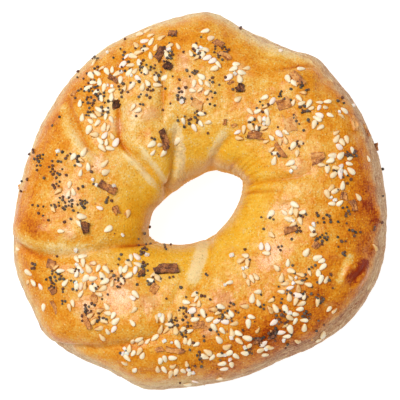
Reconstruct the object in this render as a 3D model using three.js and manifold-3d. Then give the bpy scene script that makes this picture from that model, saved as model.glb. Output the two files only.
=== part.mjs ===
// A large topped bagel: one closed ring of bread, rolled and folded by hand, with the
// sesame seeds and the flakes of dried onion and garlic baked onto its crust.
// Millimetres, +Z up. The bagel stands on z = 0, and the middle of its outline is over
// the origin. Places on the crust are given in one of two ways:
//   around, over  around is an angle in degrees about the hole, counter-clockwise from +X;
//                 over is -1 at the hole, 0 on the crown, +1 at the outline, 2 underneath
//   x, y          millimetres on the plan, for what fell onto the crust from above

import * as THREE from 'three';
import { mergeVertices } from 'three/addons/utils/BufferGeometryUtils.js';
import Module from 'manifold-3d';

// ---- the ring of bread -------------------------------------------------------------

const HOLE_AT = [-0.8, -2.6];      // the middle of the hole, on the plan
const CROWN_HEIGHT = 37;           // the ring's highest line, before its lobes
const WAIST_HEIGHT = 16;           // where the ring is widest
const BELLY_DEPTH = 19.5;          // the lower half, before the flat base cuts it
const FULLNESS_ABOVE = 0.12;       // how much squarer than an ellipse the section is
const FULLNESS_BELOW = 0.18;
const BASE_ROUNDING = 1.5;         // the soft edge of the flat base
const RELIEF_FROM = 3;             // folds fade out below these heights, towards the base
const RELIEF_FULL = 11;

// Radii from the middle of the hole, one every 15 degrees.
const OUTLINE_RADII = [
  62.5, 62, 62.5, 62.5, 61, 61.5, 64, 62, 61, 59.5, 58, 57.5,
  59, 62, 63, 63.5, 60.5, 61, 58, 57, 57, 60.5, 63, 63.5,
];
const HOLE_RADII = [
  13.5, 16, 18.5, 17.5, 15, 12.5, 10.5, 9.5, 9, 9, 10, 11.5,
  14, 16, 18, 16, 14, 12.5, 11.5, 11, 10.5, 11, 11.5, 12,
];

// Corners in the outline where the rolled dough was pinched together.
const CORNERS = [
  { around: 51, reach: 5, rise: 1.6 },
  { around: 84, reach: 7, rise: 1.6 },
  { around: 67, reach: 5, rise: -0.4 },
  { around: 224, reach: 4, rise: 0.6 },
  { around: 253, reach: 4, rise: 0.4 },
];

// A fold is a crease where one lobe of dough lies against the next. Walking along its
// path, left and right are how high the lobes on either side stand over the crease, each
// with the distance to its top; depth and width are those of the crease itself.
const FOLDS = [
  { // the left lobe rolls over the lower left one, from the outline into the hole
    path: [[188, 1.05], [192, 0.64], [196, 0.42], [202, 0.1], [208, -0.32], [213, -0.55],
      [219, -0.8], [224, -1.1]],
    depth: 1.2, width: 2.2, left: [1.9, 7], right: [0.5, 6], fade: [0.2, 0.25],
  },
  { // the lower left lobe ends over the bottom one
    path: [[222, 1.1], [229, 0.66], [236, 0.5], [245, 0.32], [256, 0.15], [266, 0.02]],
    depth: 0.9, width: 2.2, left: [1.5, 7], right: [0.5, 6], fade: [0.1, 0.3],
  },
  { // a stretched seam from the hole down between the bottom lobes
    path: [[303, -0.95], [289, -0.5], [280, -0.3], [272, -0.12], [268, 0.05]],
    depth: 0.9, width: 2.2, left: [0.9, 5], right: [0.4, 5], fade: [0.08, 0.35],
  },
  { // the upper left band, stretched over the shoulder
    path: [[139, 0.6], [143.5, 0.41], [147, 0.25], [152, 0.08], [156, -0.06]],
    depth: 0.9, width: 1.5, left: [0.8, 3.5], right: [0.5, 5], fade: [0.2, 0.3],
  },
  { // the edge of the top left lobe, down into the hole
    path: [[123, 0.18], [127, 0.08], [133, -0.02], [139, -0.14], [140.5, -0.35], [142, -0.66],
      [143, -0.95]],
    depth: 1.3, width: 1.4, left: [1.3, 5], right: [0.2, 5], fade: [0.2, 0.15],
  },
  { // a crease across the top left crown
    path: [[100, 0.32], [103, 0.1], [106, -0.05], [109, -0.18]],
    depth: 0.9, width: 1.3, left: [0.3, 5], right: [0.8, 5], fade: [0.3, 0.3],
  },
  { // the lip beside the torn inner wall
    path: [[99, -0.18], [103, -0.31], [109, -0.45], [120, -0.58], [133, -0.67], [147, -0.78],
      [156, -1.0]],
    depth: 1.3, width: 1.4, left: [0.2, 4], right: [1.2, 4.5], fade: [0.2, 0.15],
  },
  { // the edge of the top right lobe, out of the hole
    path: [[68, -1.15], [66, -0.72], [63.5, -0.53], [61, -0.38], [59, -0.2]],
    depth: 1.0, width: 1.6, left: [0.3, 5], right: [1.2, 6], fade: [0.1, 0.35],
  },
  { // two pleats to the right of the hole
    path: [[24, -0.85], [18, -0.41], [14, -0.12], [15, 0.08]],
    depth: 0.9, width: 1.4, left: [0.6, 4], right: [0.6, 4], fade: [0.15, 0.35],
  },
  {
    path: [[14, -0.75], [10, -0.4], [7, -0.12]],
    depth: 0.5, width: 1.3, left: [0.3, 4], right: [0.4, 5], fade: [0.2, 0.5],
  },
  { // the pinched corner at the upper right
    path: [[60, 0.32], [55, 0.47], [51, 0.6], [47, 0.7]],
    depth: 0.9, width: 2.0, left: [0.6, 4], right: [0.9, 5], fade: [0.3, 0.3],
  },
  { // a slack fold in the right flank
    path: [[345, 0.78], [333, 0.72], [320, 0.7], [309, 0.76]],
    depth: 0.6, width: 2.0, left: [0.5, 5], right: [0.6, 5], fade: [0.3, 0.3],
  },
];

// Swollen lobes, hollows and blisters.
const SWELLS = [
  { around: 170, over: 0.25, reach: 20, rise: 1.4 },
  { around: 236, over: 0.05, reach: 17, rise: 1.2 },
  { around: 285, over: 0.3, reach: 20, rise: 1.0 },
  { around: 330, over: 0.1, reach: 24, rise: 1.2 },
  { around: 20, over: 0.3, reach: 18, rise: 0.8 },
  { around: 112, over: 0.4, reach: 16, rise: 0.9 },
  { around: 126, over: -0.25, reach: 8, rise: 0.9 },
  { around: 66, over: 0.35, reach: 13, rise: -1.4 },
  { around: 95, over: -0.45, reach: 8, rise: -1.2 },
  { around: 227, over: 0.8, reach: 7, rise: -1.0 },
  { around: 200, over: -0.1, reach: 9, rise: -0.8 },
  { around: 338, over: 0.5, reach: 3.2, rise: 1.7 },
  { around: 357, over: 0.62, reach: 2.6, rise: 1.0 },
  { around: 188, over: 0.45, reach: 6, rise: 0.8 },
];

// ---- what is baked onto it ---------------------------------------------------------

const SEED = { length: 3.0, width: 1.8, height: 1.2, sunk: 0.5, taper: 0.32 };
const SEED_SPACING = 1.9;          // the least distance between two seeds' middles
const SEED_TRIES = 12;
const SEEDS_ONE_IN = 4;            // of the seeds that lie there, the solid has these
const SEED_SIZES = [0.88, 1.12];
const SEED_DRAW = 7919;            // where the random draws of the first patch start

// Patches of sesame: x, y, the patch's radius, and how many seeds it holds.
const SESAME_PATCHES = [
  // the top, from the left
  [-29, 37, 5, 18], [-20, 43, 3, 9], [-15, 50, 4, 11], [-15, 37, 4, 9], [-6, 50, 2, 3],
  [1, 47, 3, 9], [6, 43, 2, 3], [2, 36, 3, 10], [3, 25, 2, 4], [15, 41, 3, 6], [12, 37, 2, 2],
  // the upper left, down to the crease
  [-36, 26, 2, 3], [-30, 24, 4, 14], [-28, 18, 3, 6], [-12, 16, 3, 5], [-4, 24, 1, 2],
  [-36, 11, 3, 6], [-28, 8, 1, 3], [-40, 2, 2, 4], [-37, -7, 2, 2], [-31, -4, 1, 1],
  [-28, -11, 1, 1], [-22, -5, 1, 1], [-45, -4, 1, 1], [-43, -11, 1, 1],
  // the upper right
  [32, 38, 2, 4], [35, 31, 3, 6], [41, 28, 3, 6], [47, 27, 2, 3], [24, 31, 2, 3],
  [21, 24, 4, 13], [15, 21, 2, 3], [24, 18, 1, 2], [26, 13, 2, 4], [29, 18, 2, 3],
  [34, 16, 2, 4], [32, 10, 1, 2], [39, 23, 2, 3], [47, 18, 2, 5], [47, 10, 4, 14],
  [44, 2, 2, 4], [48, 3, 1, 2], [53, 0, 1, 1], [44, -2, 1, 2],
  // the lower right
  [25, -6, 1, 3], [33, -7, 3, 10], [26, -13, 1, 2], [39, -12, 1, 2], [36, -18, 1, 2],
  [23, -17, 2, 3], [17, -21, 2, 4], [41, -21, 2, 4], [41, -26, 2, 5], [18, -26, 2, 4],
  [31, -29, 4, 15], [35, -33, 2, 4], [20, -33, 2, 4], [25, -35, 2, 3], [33, -38, 3, 6],
  [28, -42, 3, 8], [18, -42, 2, 5], [16, -46, 2, 3], [21, -48, 2, 4], [44, -36, 1, 2],
  [40, -45, 2, 2], [58, -17, 1, 1],
  // the bottom
  [12, -28, 1, 2], [1, -32, 2, 3], [1, -37, 3, 8], [8, -37, 2, 4], [10, -41, 3, 8],
  [0, -46, 2, 3], [8, -45, 1, 2], [-9, -41, 3, 8], [-4, -44, 2, 3], [-18, -48, 3, 8],
  [-21, -51, 2, 4], [-7, -51, 1, 3], [-9, -54, 3, 8], [-3, -55, 2, 4], [5, -50, 2, 3],
  [10, -52, 3, 11], [7, -57, 1, 1], [-1, -59, 1, 2],
  // the lower left
  [-54, -27, 2, 4], [-44, -23, 1, 3], [-36, -23, 3, 10], [-29, -25, 2, 5], [-20, -23, 3, 9],
  [-13, -27, 2, 6], [-36, -29, 2, 6], [-31, -28, 2, 5], [-24, -26, 2, 3], [-42, -28, 1, 2],
  [-31, -32, 1, 2], [-19, -33, 1, 2], [-29, -39, 4, 15], [-49, -35, 1, 1], [-40, -35, 1, 2],
  [-58, -17, 1, 1],
];

// Flakes of onion and garlic: x, y, the way the long side points, length, width, height.
const FLAKES = [
  // the top, from the left
  [-39, 34, -20, 2, 2, 1], [-26, 38, -30, 4, 3, 1.2], [-25, 30, 5, 4, 3.5, 1.2],
  [-11, 46, 60, 6, 3, 1.3], [-8, 42, 70, 3.5, 3, 1.6], [-7, 53, -20, 3.5, 2.5, 1.2],
  [-10, 19, -65, 7, 2.5, 1.3], [8, 50, -35, 4, 2.5, 1.2], [10, 46, -40, 4.5, 2.5, 1.2],
  [15, 35, 85, 3, 3, 1.4], [12, 37, 35, 2.5, 1, 0.8], [1, 30, -25, 5, 3, 1],
  // the upper right
  [10, 24, 80, 2, 1.5, 0.9], [13, 23, 20, 2, 1.5, 0.9], [20, 20, -5, 5.5, 3, 1.3],
  [33, 38, -58, 6, 3.5, 1.4], [29, 30, 20, 4.5, 3.5, 1.2], [31, 23, -75, 7.5, 5.5, 0.9],
  [28, 15, -55, 7.5, 2, 1], [40, 12, 10, 4.5, 4, 1.1], [51, 23, -75, 6, 2, 1.3],
  [55, 22, -60, 4.5, 1.5, 0.9], [58, 17, 88, 3, 1, 1.2], [48, 0, 80, 3, 2.5, 1],
  [51, -3, -65, 5, 2.5, 1.2],
  // the lower right and the bottom
  [31, -11, 8, 5, 3, 1.3], [39, -16, 50, 3, 2.5, 1], [25, -44, 80, 4, 3, 1.4],
  [20, -46, 10, 3, 2, 1.1], [2, -41, 10, 4.5, 3, 0.9], [-6, -49, -12, 7, 2.5, 1.1],
  [-11, -49, 20, 3, 2, 0.9],
  // the left
  [-59, 5, 75, 2, 1.5, 1.6], [-28, 3, -28, 7, 3.5, 1.5], [-26, -4, -70, 3.5, 2.5, 1.1],
  [-35, -10, -80, 4.5, 3, 1.5], [-9, -24, 4, 8.5, 3.5, 1.5], [-17, -25, 10, 3, 2, 1],
  [-46, -22, 60, 4, 3.5, 1.1], [-45, -30, 20, 3, 2.5, 1], [-45, -35, -72, 5, 1.5, 0.8],
  [-13, -30, 60, 3, 2.5, 1], [-32, -33, -70, 3, 2.5, 1], [-34, -40, -63, 6, 2, 1.1],
];
const FLAKE_SUNK = 0.55;
const FLAKE_UNEVEN = 0.28;         // how far a corner may be drawn in
const FLAKE_DRAW = 4021;

// ---- helpers -----------------------------------------------------------------------

const DEGREE = Math.PI / 180;
const NORMAL_TURN = 0.25;          // how far apart, around and over, a normal is taken
const NORMAL_ROLL = 0.01;
const FOLD_STEPS = 8;              // straight steps for each stretch of a fold's path
const LANDING_HALVINGS = 30;
const SAME_CORNER = 1e-4;          // corners nearer than this are one

function smoothStep(from, to, value) {
  const t = Math.min(Math.max((value - from) / (to - from), 0), 1);
  return t * t * (3 - 2 * t);
}

function angleBetween(a, b) {
  return ((a - b + 540) % 360) - 180;
}

// The same sequence of numbers from 0 to 1 each run.
function randomFrom(start) {
  let state = start >>> 0;
  return () => {
    state = (Math.imul(state, 1664525) + 1013904223) >>> 0;
    return state / 4294967296;
  };
}

// A smooth closed curve through evenly spaced radii.
function radiusAt(radii, around) {
  const place = ((around % 360) + 360) % 360 / 360 * radii.length;
  const first = Math.floor(place);
  const f = place - first;
  const [a, b, c, d] = [-1, 0, 1, 2].map((k) => radii[(first + k + radii.length) % radii.length]);
  return 0.5 * (2 * b + (c - a) * f + (2 * a - 5 * b + 4 * c - d) * f * f
    + (3 * b - a - 3 * c + d) * f * f * f);
}

// ---- the crust ---------------------------------------------------------------------

function outlineRadius(around) {
  let radius = radiusAt(OUTLINE_RADII, around);
  for (const corner of CORNERS) {
    radius += corner.rise * Math.exp(-((angleBetween(around, corner.around) / corner.reach) ** 2));
  }
  return radius;
}

function sectionAt(around) {
  const hole = radiusAt(HOLE_RADII, around);
  const outline = outlineRadius(around);
  return { middle: (hole + outline) / 2, half: (outline - hole) / 2 };
}

function flattenBase(z) {
  if (z > BASE_ROUNDING) return z;
  if (z < -BASE_ROUNDING) return 0;
  return (z + BASE_ROUNDING) ** 2 / (4 * BASE_ROUNDING);
}

// The ring without its folds.
function plainPoint(around, over) {
  const { middle, half } = sectionAt(around);
  const out = Math.sin(over * Math.PI / 2);
  const up = Math.cos(over * Math.PI / 2);
  const above = up > 0;
  const fullness = above ? FULLNESS_ABOVE : FULLNESS_BELOW;
  const radius = middle + half * out * (1 + fullness * up * up);
  const rise = above ? CROWN_HEIGHT - WAIST_HEIGHT : BELLY_DEPTH;
  const z = flattenBase(WAIST_HEIGHT + rise * up * (1 + fullness * out * out));
  const angle = around * DEGREE;
  const [x, y] = HOLE_AT;
  return new THREE.Vector3(x + radius * Math.cos(angle), y + radius * Math.sin(angle), z);
}

function plainNormal(around, over) {
  const along = plainPoint(around + NORMAL_TURN, over).sub(plainPoint(around - NORMAL_TURN, over));
  const across = plainPoint(around, over + NORMAL_ROLL).sub(plainPoint(around, over - NORMAL_ROLL));
  return across.cross(along).normalize();
}

// A fold's path as short straight steps on the plain ring.
function traceFold(fold) {
  const line = new THREE.CatmullRomCurve3(
    fold.path.map(([around, over]) => new THREE.Vector3(around, over, 0)), false, 'catmullrom', 0.5);
  const places = line.getPoints(FOLD_STEPS * (fold.path.length - 1));
  const points = places.map((place) => plainPoint(place.x, place.y));
  const steps = [];
  for (let i = 0; i + 1 < points.length; i += 1) {
    const run = points[i + 1].clone().sub(points[i]);
    const middle = places[i].clone().lerp(places[i + 1], 0.5);
    const side = plainNormal(middle.x, middle.y).cross(run).normalize();
    const span = 1 / (points.length - 1);
    steps.push({ from: points[i], run, side, at: i * span, span });
  }
  return steps;
}

const foldSteps = FOLDS.map(traceFold);

// Rises from nothing at the crease to 1 at the lobe's top, and sinks away behind it.
function lobeProfile(distance, reach) {
  const t = distance / reach;
  return t * Math.exp((1 - t * t) / 2);
}

function foldHeight(fold, steps, point) {
  let nearest = Infinity;
  let side = 0;
  let at = 0;
  const offset = new THREE.Vector3();
  for (const step of steps) {
    offset.subVectors(point, step.from);
    const t = Math.min(Math.max(offset.dot(step.run) / step.run.lengthSq(), 0), 1);
    offset.addScaledVector(step.run, -t);
    const distance = offset.length();
    if (distance < nearest) {
      nearest = distance;
      side = offset.dot(step.side);
      at = step.at + t * step.span;
    }
  }
  const [rise, reach] = side > 0 ? fold.left : fold.right;
  const strength = smoothStep(0, fold.fade[0], at) * (1 - smoothStep(1 - fold.fade[1], 1, at));
  const crease = fold.depth * Math.exp(-((nearest / fold.width) ** 2));
  return strength * (rise * lobeProfile(nearest, reach) - crease);
}

const swellPoints = SWELLS.map((swell) => plainPoint(swell.around, swell.over));

function reliefAt(point) {
  let relief = 0;
  FOLDS.forEach((fold, i) => { relief += foldHeight(fold, foldSteps[i], point); });
  SWELLS.forEach((swell, i) => {
    relief += swell.rise * Math.exp(-point.distanceToSquared(swellPoints[i]) / swell.reach ** 2);
  });
  return relief * smoothStep(RELIEF_FROM, RELIEF_FULL, point.z);
}

function crustPoint(around, over) {
  const point = plainPoint(around, over);
  return point.clone().addScaledVector(plainNormal(around, over), reliefAt(point));
}

// ---- the ring as one closed mesh ---------------------------------------------------

const ROWS_ABOVE = 26;             // over the crown, from inside the hole to the outside
const ROWS_END = 1.3;              // where the rows of the flank stop
const ROWS_BELOW = [1.46, 1.6, 1.72, 2.28, 2.4, 2.54];
const SECTIONS = 96;

function rowPlaces() {
  const rows = [];
  for (let i = 0; i <= ROWS_ABOVE; i += 1) rows.push(ROWS_END * (2 * i / ROWS_ABOVE - 1));
  return rows.concat(ROWS_BELOW);
}

function ringGeometry() {
  const rows = rowPlaces();
  const positions = [];
  const index = [];
  for (let i = 0; i < SECTIONS; i += 1) {
    for (const over of rows) positions.push(...crustPoint(i * 360 / SECTIONS, over).toArray());
  }
  const vertex = (i, j) => (i % SECTIONS) * rows.length + (j % rows.length);
  for (let i = 0; i < SECTIONS; i += 1) {
    for (let j = 0; j < rows.length; j += 1) {
      index.push(vertex(i, j), vertex(i, j + 1), vertex(i + 1, j));
      index.push(vertex(i + 1, j), vertex(i, j + 1), vertex(i + 1, j + 1));
    }
  }
  const geometry = new THREE.BufferGeometry();
  geometry.setAttribute('position', new THREE.Float32BufferAttribute(positions, 3));
  geometry.setIndex(index);
  return geometry;
}

// ---- the topping -------------------------------------------------------------------

// Where something that falls from above at x, y comes to lie on the crust.
function landing(x, y) {
  const around = Math.atan2(y - HOLE_AT[1], x - HOLE_AT[0]) / DEGREE;
  const { middle, half } = sectionAt(around);
  const wanted = (Math.hypot(x - HOLE_AT[0], y - HOLE_AT[1]) - middle) / half;
  let low = -1;
  let high = 1;
  for (let i = 0; i < LANDING_HALVINGS; i += 1) {
    const over = (low + high) / 2;
    const out = Math.sin(over * Math.PI / 2);
    if (out * (1 + FULLNESS_ABOVE * (1 - out * out)) < wanted) low = over;
    else high = over;
  }
  return [around, (low + high) / 2];
}

// Lays a piece on the crust at x, y: its +Z leaves the crust, its +X points along turn.
function layOnCrust(geometry, x, y, turn, lift) {
  const [around, over] = landing(x, y);
  const up = plainNormal(around, over);
  const level = new THREE.Vector3(Math.cos(turn * DEGREE), Math.sin(turn * DEGREE), 0);
  const sideways = up.clone().cross(level).normalize();
  const forward = sideways.clone().cross(up);
  const place = new THREE.Matrix4().makeBasis(forward, sideways, up);
  place.setPosition(crustPoint(around, over).addScaledVector(up, lift));
  return geometry.applyMatrix4(place);
}

// A sesame seed: a flattened drop with its point towards +X.
function seedGeometry(scale) {
  const seed = new THREE.IcosahedronGeometry(1, 0);
  const places = seed.getAttribute('position');
  for (let i = 0; i < places.count; i += 1) {
    const taper = 1 - SEED.taper * places.getX(i);
    places.setXYZ(i, places.getX(i) * SEED.length / 2 * scale,
      places.getY(i) * taper * SEED.width / 2 * scale,
      places.getZ(i) * SEED.height / 2 * scale);
  }
  return seed;
}

function scatterSeeds() {
  const seeds = [];
  SESAME_PATCHES.forEach(([x, y, reach, count], patch) => {
    const random = randomFrom(SEED_DRAW * (patch + 1));
    for (let i = 0; i < count; i += 1) {
      let place = null;
      for (let attempt = 0; attempt < SEED_TRIES && !place; attempt += 1) {
        const distance = reach * Math.sqrt(random());
        const angle = 2 * Math.PI * random();
        const tried = [x + distance * Math.cos(angle), y + distance * Math.sin(angle)];
        const distanceTo = (seed) => Math.hypot(seed.x - tried[0], seed.y - tried[1]);
        if (seeds.every((seed) => distanceTo(seed) > SEED_SPACING)) place = tried;
      }
      const turn = 360 * random();
      const scale = SEED_SIZES[0] + (SEED_SIZES[1] - SEED_SIZES[0]) * random();
      if (place) seeds.push({ x: place[0], y: place[1], turn, scale });
    }
  });
  return seeds;
}

function seedPieces() {
  const lift = SEED.height / 2 - SEED.sunk;
  return scatterSeeds()
    .filter((seed, i) => i % SEEDS_ONE_IN === 0)
    .map((seed) => layOnCrust(seedGeometry(seed.scale), seed.x, seed.y, seed.turn, lift));
}

// A flake is a chip with uneven corners.
function flakePieces() {
  const random = randomFrom(FLAKE_DRAW);
  return FLAKES.map(([x, y, turn, length, width, height]) => {
    const chip = new THREE.BoxGeometry(length, width, height);
    const merged = withSharedCorners(chip);
    const places = merged.getAttribute('position');
    for (let i = 0; i < places.count; i += 1) {
      places.setXYZ(i, places.getX(i) * (1 - FLAKE_UNEVEN * random()),
        places.getY(i) * (1 - FLAKE_UNEVEN * random()), places.getZ(i));
    }
    return layOnCrust(merged, x, y, turn, height / 2 - FLAKE_SUNK);
  });
}

// ---- one piece ---------------------------------------------------------------------

function withSharedCorners(geometry) {
  geometry.deleteAttribute('normal');
  geometry.deleteAttribute('uv');
  return mergeVertices(geometry, SAME_CORNER);
}

const wasm = await Module();
wasm.setup();

function toSolid(geometry) {
  const shared = withSharedCorners(geometry);
  return new wasm.Manifold(new wasm.Mesh({
    numProp: 3,
    vertProperties: Float32Array.from(shared.getAttribute('position').array),
    triVerts: Uint32Array.from(shared.index.array),
  }));
}

function toGeometry(solid) {
  const mesh = solid.getMesh();
  const geometry = new THREE.BufferGeometry();
  geometry.setAttribute('position', new THREE.BufferAttribute(mesh.vertProperties, 3));
  geometry.setIndex(new THREE.BufferAttribute(mesh.triVerts, 1));
  geometry.computeVertexNormals();
  return geometry;
}

function bagelGeometry() {
  let solid = toSolid(ringGeometry());
  for (const piece of [...flakePieces(), ...seedPieces()]) solid = solid.add(toSolid(piece));
  return toGeometry(solid);
}

const crust = new THREE.MeshStandardMaterial({ color: '#d98a34', roughness: 0.45, metalness: 0 });
const bagel = new THREE.Mesh(bagelGeometry(), crust);
bagel.name = 'bagel';

const group = new THREE.Group();
group.add(bagel);
export default group;
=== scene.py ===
"""A large topped bagel, dressed for its picture.

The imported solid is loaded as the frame. The crust is made again round the same ring, from
the same sizes, with the finer folds and its bake; then come the sesame, poppy, flakes,
salt and crumbs, and last the table, the lights and the camera.

Sizes are in millimetres up to the point where a mesh is made. Places are given in one of
two ways:
  around, over  around is an angle in degrees about the hole, counter-clockwise from +X;
                over is -1 at the hole, 0 on the crown, +1 at the outline, 2 underneath
  x, y          on the plan, for what fell onto the crust from above
"""

import math
from collections import namedtuple

import bpy
import numpy as np
from mathutils import Euler, Matrix, Vector, noise


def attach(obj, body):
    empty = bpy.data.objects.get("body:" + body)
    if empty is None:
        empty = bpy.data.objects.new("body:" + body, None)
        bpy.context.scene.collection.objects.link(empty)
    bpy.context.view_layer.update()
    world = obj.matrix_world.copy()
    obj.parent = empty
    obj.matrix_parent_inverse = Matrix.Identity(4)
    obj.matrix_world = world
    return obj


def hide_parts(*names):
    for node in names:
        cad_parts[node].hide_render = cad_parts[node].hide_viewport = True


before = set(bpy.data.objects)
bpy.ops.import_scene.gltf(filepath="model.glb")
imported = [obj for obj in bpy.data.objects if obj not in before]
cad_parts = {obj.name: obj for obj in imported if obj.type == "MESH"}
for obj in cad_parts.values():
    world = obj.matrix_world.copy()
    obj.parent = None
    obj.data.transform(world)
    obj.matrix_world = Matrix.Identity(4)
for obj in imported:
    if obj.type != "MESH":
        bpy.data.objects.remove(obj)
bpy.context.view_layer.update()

bl_info = {
    "name": "Topped Bagel",
    "version": (1, 0, 0),
    "blender": (4, 5, 0),
    "location": "View3D > Sidebar > Bagel",
    "description": "Bakes the crust of a topped bagel and lays its seeds, flakes and salt",
    "category": "Object",
}

MM = 0.001

# ---- the ring of bread, as in the solid ----------------------------------------------

HOLE_AT = (-0.8, -2.6)        # the middle of the hole, on the plan
CROWN_HEIGHT = 37.0           # the ring's highest line, before its lobes
WAIST_HEIGHT = 16.0           # where the ring is widest
BELLY_DEPTH = 19.5            # the lower half, before the flat base cuts it
FULLNESS_ABOVE = 0.12         # how much squarer than an ellipse the section is
FULLNESS_BELOW = 0.18
BASE_ROUNDING = 1.5           # the soft edge of the flat base
RELIEF_FROM = 3.0             # folds fade out below these heights, towards the base
RELIEF_FULL = 11.0

# Radii from the middle of the hole, one every 15 degrees.
OUTLINE_RADII = (
    62.5, 62, 62.5, 62.5, 61, 61.5, 64, 62, 61, 59.5, 58, 57.5,
    59, 62, 63, 63.5, 60.5, 61, 58, 57, 57, 60.5, 63, 63.5,
)
HOLE_RADII = (
    13.5, 16, 18.5, 17.5, 15, 12.5, 10.5, 9.5, 9, 9, 10, 11.5,
    14, 16, 18, 16, 14, 12.5, 11.5, 11, 10.5, 11, 11.5, 12,
)

# Corners in the outline where the rolled dough was pinched together: around, reach, rise.
CORNERS = ((51, 5, 1.6), (84, 7, 1.6), (67, 5, -0.4), (224, 4, 0.6), (253, 4, 0.4))

# A fold is a crease where one lobe of dough lies against the next. Depth and width are
# those of the crease itself. Fade is the share of its path over which it sets in, and over
# which it dies out. Next comes how much darker the crust is along it: above nothing that is
# painted shade in the crease, below nothing the paler colour of stretched dough; then how
# far out that reaches, and how dark the line at its bottom is, which is painted shade too.
# Walking along the path, left and right are how high the lobes on either side stand over
# the crease, each with the distance to its top.
LEVEL = (0, 3)
Fold = namedtuple("Fold", "path depth width fade stain left right", defaults=(LEVEL, LEVEL))

# These stand in the solid too.
FOLDS = (
    # the left lobe rolls over the lower left one, from the outline into the hole
    Fold(((188, 1.05), (192, 0.64), (196, 0.42), (202, 0.1), (208, -0.32), (213, -0.55),
         (219, -0.8), (224, -1.1)), 1.2, 1.5, (0.2, 0.25), (0.0, 0.8, 0.3), (1.9, 7), (0.5, 6)),
    # the lower left lobe ends over the bottom one
    Fold(((222, 1.1), (229, 0.66), (236, 0.5), (245, 0.32), (256, 0.15), (266, 0.02)), 0.8, 1.6,
         (0.1, 0.3), (0.02, 0.8, 0.3), (1.5, 7), (0.5, 6)),
    # a stretched seam from the hole down between the bottom lobes
    Fold(((303, -0.95), (289, -0.5), (280, -0.3), (272, -0.12), (268, 0.05)), 0.9, 2.2,
         (0.08, 0.35), (0.14, 0.8, 0.0), (0.9, 5), (0.4, 5)),
    # the upper left band, stretched over the shoulder
    Fold(((139, 0.6), (143.5, 0.41), (147, 0.25), (152, 0.08), (156, -0.06)), 0.9, 1.5,
         (0.2, 0.3), (0.0, 0.6, 0.3), (0.8, 3.5), (0.5, 5)),
    # the edge of the top left lobe, down into the hole
    Fold(((123, 0.18), (127, 0.08), (133, -0.02), (139, -0.14), (140.5, -0.35), (142, -0.66),
         (143, -0.95)), 0.8, 1.2, (0.2, 0.15), (0.0, 0.9, 0.05), (1.1, 5), (0.2, 5)),
    # a crease across the top left crown
    Fold(((100, 0.32), (103, 0.1), (106, -0.05), (109, -0.18)), 0.9, 1.1, (0.3, 0.3),
         (0.12, 0.7, 0.3), (0.3, 5), (0.8, 5)),
    # the lip beside the torn inner wall
    Fold(((99, -0.18), (103, -0.31), (109, -0.45), (120, -0.58), (133, -0.67), (147, -0.78),
         (156, -1.0)), 1.3, 1.2, (0.2, 0.15), (0.04, 0.6, 0.1), (0.2, 4), (1.2, 4.5)),
    # the edge of the top right lobe, out of the hole
    Fold(((68, -1.15), (66, -0.72), (63.5, -0.53), (61, -0.38), (59, -0.2)), 1.0, 1.6,
         (0.1, 0.35), (0.06, 0.8, 0.1), (0.3, 5), (1.2, 6)),
    # two pleats to the right of the hole
    Fold(((24, -0.85), (18, -0.41), (14, -0.12), (15, 0.08)), 0.9, 1.2, (0.15, 0.35),
         (0.12, 0.7, 0.3), (0.6, 4), (0.6, 4)),
    Fold(((14, -0.75), (10, -0.4), (7, -0.12)), 0.5, 1.2, (0.2, 0.5), (0.1, 0.6, 0.4), (0.3, 4),
         (0.4, 5)),
    # the pinched corner at the upper right
    Fold(((60, 0.32), (55, 0.47), (51, 0.6), (47, 0.7)), 0.9, 2.0, (0.3, 0.3), (0.2, 0.9, 0.25),
         (0.6, 4), (0.9, 5)),
    # a slack fold in the right flank
    Fold(((345, 0.78), (333, 0.72), (320, 0.7), (309, 0.76)), 0.3, 2.0, (0.3, 0.3),
         (0.06, 1.0, 0.0), (0.3, 5), (0.3, 5)),
)

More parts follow.
